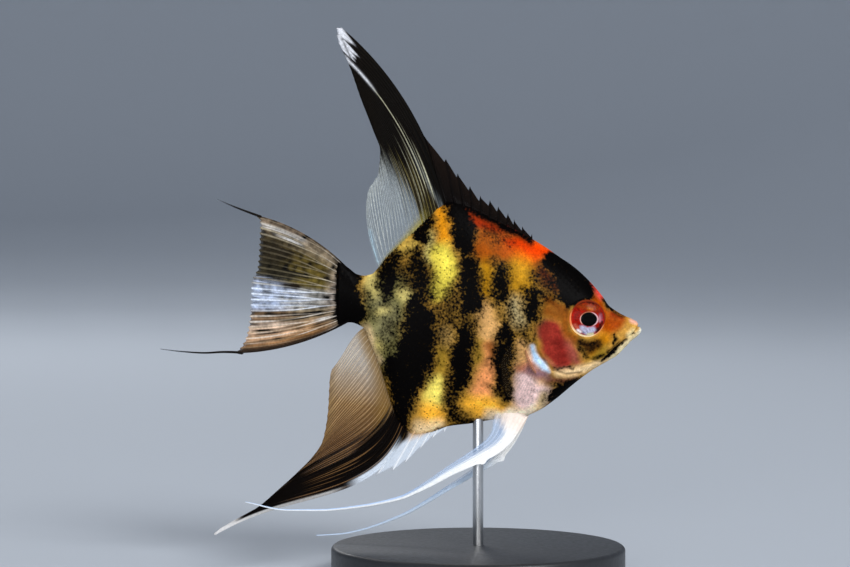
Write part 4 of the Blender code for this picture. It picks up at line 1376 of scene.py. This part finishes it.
class ANGELFISH_OT_tail_fin(Operator):
    """Make the tail fin with its forked rays and its two trailing streamers."""

    bl_idname = "angelfish.tail_fin"
    bl_label = "Tail fin"

    def execute(self, context):
        sizes = context.scene.angelfish_sizes
        finish = fin_membrane("tail_fin_membrane")
        rays = sizes.tail_rays

        def sway(s, t):
            return TAIL_WAVE * t * np.sin(1.5 * pi * s)

        spot = fan(path(TAIL_ROOT), path(TAIL_MARGIN), *TAIL_BOWS, sway, 0.02, rays * 2, 3)
        half = ray_thickness(rays, sizes)
        fin = fin_sheet("tail_rays", rays * 20, 72, spot, half, tail_tint(rays), finish, "brown_fin")
        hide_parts("tail_fin")
        for name, line, side in (("upper", UPPER_STREAMER, 0.0), ("lower", LOWER_STREAMER, -1.1)):
            streamer("tail_streamer_" + name, line, side, finish)
        return {"FINISHED"}


# White rays in the tail: place, width, and where each starts and ends.
TAIL_PALE_RAYS = ((0.075, 0.012, 0.45, 1.1), (0.11, 0.006, 0.5, 0.9), (0.8, 0.014, 0.12, 0.42))


def tail_tint(rays):
    ray_tone = ray_tones(rays, 5)

    def tint(s, t, back, up):
        lines = ray_lines(s, t, rays, 0.06, 0.2, 0.02)
        tone = ray_tone(s)
        patch = rough(place(back, up), 0.0016, 8)
        fibre = fibres(s, t, rays, 15)
        hair = fibres(s, t, rays * 3, 16)
        # The black of the tail's stalk runs out in points between the rays' bases.
        base = ease(0.155, 0.12, t + 0.05 * (fibre - 0.5) + 0.04 * (hair - 0.5))
        # Over the dark upper half the rays darken towards the margin.
        murky = ease(0.13, 0.18, s) * ease(0.46, 0.42, s) * ease(0.4, 0.7, t + 0.3 * (fibre - 0.5))
        s = s + 0.03 * (tone - 0.5)
        # The membrane's colour from the upper edge down, at the margin and then nearer the root.
        outer = ramp(
            s, (0, "#5E4E40"), (0.08, "#6A5C4C"), (0.13, "#342C1C"), (0.2, "#201A10"), (0.42, "#242014"),
            (0.45, "#6E7484"), (0.52, "#8A94A8"), (0.64, "#8C98B0"), (0.68, "#4A3A28"), (0.73, "#5A442E"),
            (0.77, "#B09C8A"), (0.84, "#AC8C70"), (0.92, "#6E5034"), (1, "#2A1E14"),
        )  # fmt: skip
        middle = ramp(
            s, (0, "#3E3226"), (0.1, "#7A6C58"), (0.18, "#463A18"), (0.44, "#52461C"), (0.52, "#7A7770"),
            (0.6, "#8E8C88"), (0.7, "#7E7058"), (0.8, "#7C6246"), (0.92, "#5E4226"), (1, "#241810"),
        )  # fmt: skip
        root = ramp(
            s, (0, "#2A221A"), (0.15, "#80725E"), (0.5, "#92847A"), (0.8, "#80705C"), (1, "#1C1410")
        )
        colour = blend(root, middle, ease(0.1, 0.3, t))
        colour = blend(colour, outer, ease(0.42, 0.72, t + 0.25 * (tone - 0.5)))
        low = ease(0.66, 0.74, s)
        blot = rough(place(back, up), 0.0008, 9)
        mottle = 0.9 * patch + 1.3 * blot * (1 - low)
        mottle = mottle + (1.1 * (fibre - 0.5) + 1.5 * (hair - 0.5)) * low
        colour = colour * (1 + mottle)[:, None]
        edge = 0.52 - 0.09 * ease(0.55, 0.85, t)
        blue = ease(edge - 0.02, edge + 0.01, s) * ease(0.67, 0.64, s) * ease(0.25, 0.5, t)
        rib = ramp(
            s, (0, "#6A5A48"), (0.1, "#B0A48C"), (0.3, "#A69A7C"), (0.45, "#A89C80"), (0.53, "#E4ECF8"),
            (0.66, "#E4ECF8"), (0.72, "#CCBCA8"), (0.9, "#B4946E"), (1, "#4A3828"),
        )  # fmt: skip
        rib = blend(rib, "#CCC4B8", ease(0.4, 0.1, t) * 0.8)
        glint = blue * (0.3 + 0.7 * hair)
        # A painted pearly glint over the clear blue band, greyer near the root and bluer towards the
        # margin.
        glint_colour = blend("#BCB8AE", "#C8D4EC", ease(0.6, 0.85, t))
        colour = blend(colour, glint_colour, 0.6 * blue * ease(0.5, 0.9, hair))
        shown = lines * (0.45 + 0.5 * np.maximum(fibre, glint)) * (1 - 0.75 * murky)
        colour = blend(colour, rib * (0.6 + 0.7 * tone)[:, None], shown)
        cover = 0.93 - 0.6 * blue * (1 - np.maximum(lines, hair))
        cover = cover * (1 - 0.4 * ease(0.95, 1.0, t) * (1 - lines))
        # White rays low on the fin near its root and under the upper edge, painted highlights along the
        # rays of the lower lobe, and dark dashes.
        white = np.zeros_like(s)
        for ray, width, start, stop in TAIL_PALE_RAYS:
            along = ease(start, start + 0.15, t) * ease(stop, stop - 0.2, t)
            white = np.maximum(white, along * bell(s, ray, width))
        ray_highlight = 0.5 * ease(0.6, 0.9, hair) * lines * low * ease(0.96, 0.88, s)
        white = np.maximum(white * (0.3 + 0.7 * hair), ray_highlight)
        colour = blend(colour, "#EEECE8", np.clip(white, 0, 1))
        away = stroke(back, up, ((112, 14.4), (116.5, 15.0), (121, 15.8)), 0.9)
        dash = away * ease(122, 117, back) * ease(111, 115, back)
        dash = np.maximum(dash, stroke(back, up, ((124, 4.6), (129, 5.4)), 0.6, 0.7) * ease(0.3, 0.7, hair))
        dash = np.maximum(dash, stroke(back, up, ((127, 9.6), (131, 9.2)), 0.4, 0.4))
        dash = dash * (1 - 0.5 * lines) * (1 + 1.2 * patch)
        colour = blend(colour, "#1A140C", np.clip(dash, 0, 1))
        cover = np.maximum(cover, np.clip(dash, 0, 1))
        lower = ease(0.93, 0.975, s) * ease(0.1, 0.25, t)
        colour = blend(colour, "#1E1610", lower * 0.85)
        colour = blend(colour, "#070505", base)
        return colour, np.maximum(cover, np.maximum(white, base))

    return tint


def streamer(name, line, side, finish):
    """A thin round filament along the line, which tapers and pales to its tip."""
    middle = path(line)

    def spot(s, t):
        centre = middle(t)
        ahead = unit(middle(np.clip(t + 1e-3, 0, 1)) - middle(np.clip(t - 1e-3, 0, 1)))
        ends = np.sqrt(np.clip(1 - (2 * t - 1) ** 40, 0, 1))
        thick, thin = STREAMER_RADII
        radius = (thick + (thin - thick) * t) * ends / PERCENT
        over = np.cos(2 * pi * s) * radius
        out = np.sin(2 * pi * s) * radius
        return place(centre[:, 0] - ahead[:, 1] * over, centre[:, 1] + ahead[:, 0] * over, side + out)

    obj = new_object(name, closed_tube(10, 60, spot), finish, "brown_fin")
    t = values_of(obj.data, "t")
    pigment = ramp(t, (0, "#17130F"), (0.6, "#1E1C1C"), (1, "#6A7078"))
    give(obj.data, pigment=pigment, cover=1 - 0.5 * ease(0.6, 1.0, t))


class ANGELFISH_OT_pelvic_fins(Operator):
    """Make the two long white pelvic fins."""

    bl_idname = "angelfish.pelvic_fins"
    bl_label = "Pelvic fins"

    def execute(self, context):
        sizes = context.scene.angelfish_sizes
        finish = fin_membrane("pelvic_fin_membrane", 0.05)
        right = ribbon("pelvic_right", RIGHT_PELVIC, RIGHT_PELVIC_WIDTHS, -1, finish, sizes)
        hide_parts("pelvic_fin_right")
        left = ribbon("pelvic_left", LEFT_PELVIC, LEFT_PELVIC_WIDTHS, 1, finish, sizes)
        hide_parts("pelvic_fin_left")
        return {"FINISHED"}


def ribbon(name, centre, widths, side, finish, sizes):
    """A pelvic fin: a blade that narrows into a long filament. Side is -1 for right, 1 for left."""
    line = path(centre)
    knots = path_knots(centre)
    width = smooth([*knots[: len(widths)], 1.0], [*widths, widths[-1] * 0.35])
    rays = 6

    def spot(s, t):
        t = np.clip(t, 0, 1)
        ahead = unit(line(np.clip(t + 0.004, 0, 1)) - line(np.clip(t - 0.004, 0, 1)))
        across = np.stack([-ahead[:, 1], ahead[:, 0]], axis=-1)
        # Behind the root the membrane spreads along the belly, and the first ray ends in a point.
        spread = 3.4 * bell(t, 0, 0.07) * s**2
        point = 0.9 * bell(t, 0.165, 0.012) * ease(0.12, 0.0, s)
        middle = line(t) + across * ((s - 0.5) * width(t) + spread - point)[:, None]
        # The root reaches up into the belly.
        lift = ease(0.06, 0.0, t)
        middle = middle - ahead * (lift * 4.2)[:, None]
        out = PELVIC_SIDE + PELVIC_FLARE * np.clip(t * 3, 0, 1) - 0.6 * lift
        return place(middle[:, 0], middle[:, 1], side * out)

    def half(s, t):
        edge = np.sqrt(np.clip(1 - (2 * s - 1) ** 2, 0, 1))
        blade = sizes.membrane_thickness * 1.3
        ray = sizes.ray_thickness * (1 - 0.5 * t)
        core = blade + (ray - blade) * ray_lines(s, t * 0, rays, 0.2)
        core = core + sizes.ray_thickness * bell(s, 0, 0.1) * ease(0.3, 0.15, t)
        thread = width(t) * PERCENT * 0.8 * edge
        return (core + (thread - core) * ease(0.35, 0.6, t)) / 2

    def tint(s, t, back, up):
        lines = ray_lines(s, t * 0, rays, 0.2)
        shift = 0.1 * ease(0.16, 0.08, t) - 0.25 * ease(0.06, 0.02, t)
        front = ease(0.2 + shift, 0.62 + shift, 1 - s)
        colour = blend("#A8C4EA", "#F6F6F4", np.clip(front + 0.3 * lines, 0, 1))
        colour = blend(colour, "#C8DEF6", (0.75 if side > 0 else 0.15) * ease(0.12, 0.3, t))
        fibre = fibres(s, t * 6, rays * 2, 17)
        colour = blend(colour, "#F8E8DC", ease(0.055, 0.02, t + 0.01 * (fibre - 0.5)))
        cover = 0.2 + 0.75 * np.clip(front + 0.35 * lines, 0, 1)
        cover = cover - (0.25 if side > 0 else 0.0) * ease(0.2, 0.8, t)
        cover = np.maximum(cover, ease(0.3, 0.5, t) * (0.72 if side > 0 else 0.97))
        return colour, cover * ease(0.0, 0.012, t)

    return fin_sheet(name, rays * 8, 240, spot, half, tint, finish, "white_fin")


class ANGELFISH_OT_pectoral_fins(Operator):
    """Make the two small, nearly clear pectoral fins."""

    bl_idname = "angelfish.pectoral_fins"
    bl_label = "Pectoral fins"

    def execute(self, context):
        sizes = context.scene.angelfish_sizes
        finish = fin_membrane("clear_pectoral_membrane", 0.1)
        root, margin = path(PECTORAL_ROOT), path(PECTORAL_MARGIN)
        rays = 11
        for name, side in (("right", -1), ("left", 1)):

            def spot(s, t, side=side):
                point = root(s) + (margin(s) - root(s)) * t[:, None]
                clear = 1.6 * ease(0, 0.2, t) - 0.5 * ease(0.12, 0, t)
                out = skin_side(point[:, 0], point[:, 1]) + clear + PECTORAL_FLARE * t * t
                return place(point[:, 0], point[:, 1], side * out)

            def tint(s, t, back, up):
                lines = ray_lines(s, t, rays, 0.12)
                colour = blend("#3A3020", "#5A4830", lines * 0.6)
                colour = blend(colour, "#B87E60", ease(0.16, 0.06, t))
                return colour, 0.03 + 0.13 * lines * (1 - 0.5 * t) + 0.7 * ease(0.14, 0.02, t)

            def half(s, t):
                return 0.4 * ray_thickness(rays, sizes)(s, t)

            fin = fin_sheet(
                "pectoral_" + name, rays * 8, 36, spot, half, tint, finish, "clear_fin", flat=False
            )
            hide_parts("pectoral_fin_" + name)
        return {"FINISHED"}


class ANGELFISH_OT_stand(Operator):
    """Finish the stand: satin black paint on the base and brushed steel on the rod."""

    bl_idname = "angelfish.stand"
    bl_label = "Stand"

    def execute(self, context):
        # Sprayed and baked enamel: fine orange peel of about 0.6 mm, and a soft wide highlight.
        paint, tree, shader = new_finish("satin_black_enamel")
        peel = cells(tree, place_on_piece(tree), 0.6, 2.0)
        tree.links.new(between(tree, peel, 0.3, 0.7, 0.36, 0.46), shader.inputs["Roughness"])
        bump = node(tree, "ShaderNodeBump", {"Height": peel, "Strength": 0.12, "Distance": 4e-5})
        tree.links.new(bump.outputs[0], shader.inputs["Normal"])
        set_sockets(shader, {"Base Color": (*context.scene.angelfish_colours.paint, 1)})

        # Steel rod drawn through a die: fine lines along its length, so highlights stretch.
        steel, tree, shader = new_finish("drawn_steel")
        drawn = {"Vector": place_on_piece(tree), "Scale": (1, 1, 0.02)}
        drawn = node(tree, "ShaderNodeMapping", drawn).outputs[0]
        lines = cells(tree, drawn, 0.12, 2.0)
        tree.links.new(between(tree, lines, 0.3, 0.7, 0.22, 0.38), shader.inputs["Roughness"])
        set_sockets(shader, {"Base Color": (*linear("#C4C5C6"), 1), "Metallic": 1.0})

        turned("stand_disc", "stand_base", DISC_RIM, paint, "stand_paint")
        turned("stand_post", "stand_rod", ROD_RIM, steel, "stand_steel")
        return {"FINISHED"}


def spun(profile):
    """A bmesh turned round the upright axis from its (radius, height) profile."""
    bm = bmesh.new()
    corners = [bm.verts.new((x, 0, z)) for x, z in profile]
    line = [bm.edges.new(pair) for pair in zip(corners, corners[1:])]
    bmesh.ops.spin(
        bm, geom=corners + line, cent=(0, 0, 0), axis=(0, 0, 1), dvec=(0, 0, 0), angle=2 * pi,
        steps=96, use_merge=True, use_duplicate=False,
    )  # fmt: skip
    bmesh.ops.remove_doubles(bm, verts=bm.verts, dist=1e-6)
    bmesh.ops.recalc_face_normals(bm, faces=bm.faces)
    return bm


def turned(name, node_name, edge, finish, slot):
    """A round piece as wide and high as its solid, with rounded corners, in the solid's place."""
    low, high = (Vector(corner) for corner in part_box(node_name))
    radius = (high.x - low.x) / 2
    profile = [(0, low.z), (radius, low.z), (radius, high.z), (0, high.z)]
    bm = spun(profile)
    rims = [bend for bend in bm.edges if bend.calc_face_angle(0) > 0.8]
    bmesh.ops.bevel(
        bm, geom=rims, offset=edge, offset_type="OFFSET", affect="EDGES", segments=4, profile=0.5,
        clamp_overlap=True, material=-1,
    )  # fmt: skip
    obj = new_object(name, bm, finish, slot)
    obj.data.set_sharp_from_angle(angle=radians(35))
    obj.data.transform(Matrix.Translation(((low.x + high.x) / 2, (low.y + high.y) / 2, 0)))
    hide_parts(node_name)


class ANGELFISH_OT_stage(Operator):
    """Set the plain floor, the soft lights and the camera."""

    bl_idname = "angelfish.stage"
    bl_label = "Stage"

    def execute(self, context):
        scene = context.scene
        sizes = scene.angelfish_sizes
        # A floor that rises all round into a plain wall, as a turned bowl.
        bm = spun(((0, 0), (1.5, 0), (2, 0.14), (2.3, 0.5), (2.4, 1), (2.4, 2.2)))
        mesh = bpy.data.meshes.new("floor")
        bm.to_mesh(mesh)
        bm.free()
        mesh.flip_normals()
        mesh.shade_smooth()
        floor = bpy.data.objects.new("floor", mesh)
        scene.collection.objects.link(floor)
        rounded = floor.modifiers.new("round", "SUBSURF")
        rounded.levels = rounded.render_levels = 2
        finish, tree, shader = new_finish("matt_backdrop_paper")
        set_sockets(shader, {"Base Color": (*scene.angelfish_colours.floor, 1), "Roughness": 0.9})
        mesh.materials.append(finish)

        world = bpy.data.worlds.new("soft_room")
        scene.world = world
        world.use_nodes = True
        set_sockets(world.node_tree.nodes["Background"], {"Color": (0.8, 0.87, 1.0, 1), "Strength": 0.28})

        for name, power, size, spot in (
            ("key", sizes.key_power, 0.7, (0.7, -1.08, 0.86)),
            ("fill", sizes.fill_power, 1.0, (-0.3, -1.5, 0.14)),
            ("back", sizes.back_power, 0.7, (-0.42, 1.05, 0.95)),
        ):
            light = bpy.data.lights.new(name, "AREA")
            light.energy = power
            light.size = size
            light.shape = "DISK"
            lamp = bpy.data.objects.new(name, light)
            lamp.location = spot
            lamp.rotation_euler = (Vector(LIGHTS_AIM) - Vector(spot)).to_track_quat("-Z", "Y").to_euler()
            lamp.visible_camera = False
            scene.collection.objects.link(lamp)

        lens = bpy.data.cameras.new("camera")
        lens.lens = 85
        lens.sensor_width = 36
        lens.clip_start = 0.01
        camera = bpy.data.objects.new("camera", lens)
        camera.location = CAMERA_SPOT
        camera.rotation_euler = (pi / 2, 0, 0)
        scene.collection.objects.link(camera)
        scene.camera = camera
        scene.view_settings.view_transform = "Standard"
        return {"FINISHED"}


OPERATORS = (
    ANGELFISH_OT_stage,
    ANGELFISH_OT_stand,
    ANGELFISH_OT_skin,
    ANGELFISH_OT_scales,
    ANGELFISH_OT_eyes,
    ANGELFISH_OT_dorsal_fin,
    ANGELFISH_OT_anal_fin,
    ANGELFISH_OT_tail_fin,
    ANGELFISH_OT_pelvic_fins,
    ANGELFISH_OT_pectoral_fins,
)


class ANGELFISH_PT_panel(Panel):
    bl_label = "Angelfish"
    bl_space_type = "VIEW_3D"
    bl_region_type = "UI"
    bl_category = "Angelfish"

    def draw(self, context):
        for group in (context.scene.angelfish_sizes, context.scene.angelfish_colours):
            for key in group.__annotations__:
                self.layout.prop(group, key)
        for operator in OPERATORS:
            self.layout.operator(operator.bl_idname)


CLASSES = (AngelfishColours, AngelfishSizes, *OPERATORS, ANGELFISH_PT_panel)


def register():
    for cls in CLASSES:
        bpy.utils.register_class(cls)
    bpy.types.Scene.angelfish_colours = PointerProperty(type=AngelfishColours)
    bpy.types.Scene.angelfish_sizes = PointerProperty(type=AngelfishSizes)


def unregister():
    del bpy.types.Scene.angelfish_sizes
    del bpy.types.Scene.angelfish_colours
    for cls in reversed(CLASSES):
        bpy.utils.unregister_class(cls)


def main():
    register()
    for operator in OPERATORS:
        group, name = operator.bl_idname.split(".")
        getattr(getattr(bpy.ops, group), name)()
    bpy.context.view_layer.update()


if __name__ == "__main__":
    main()
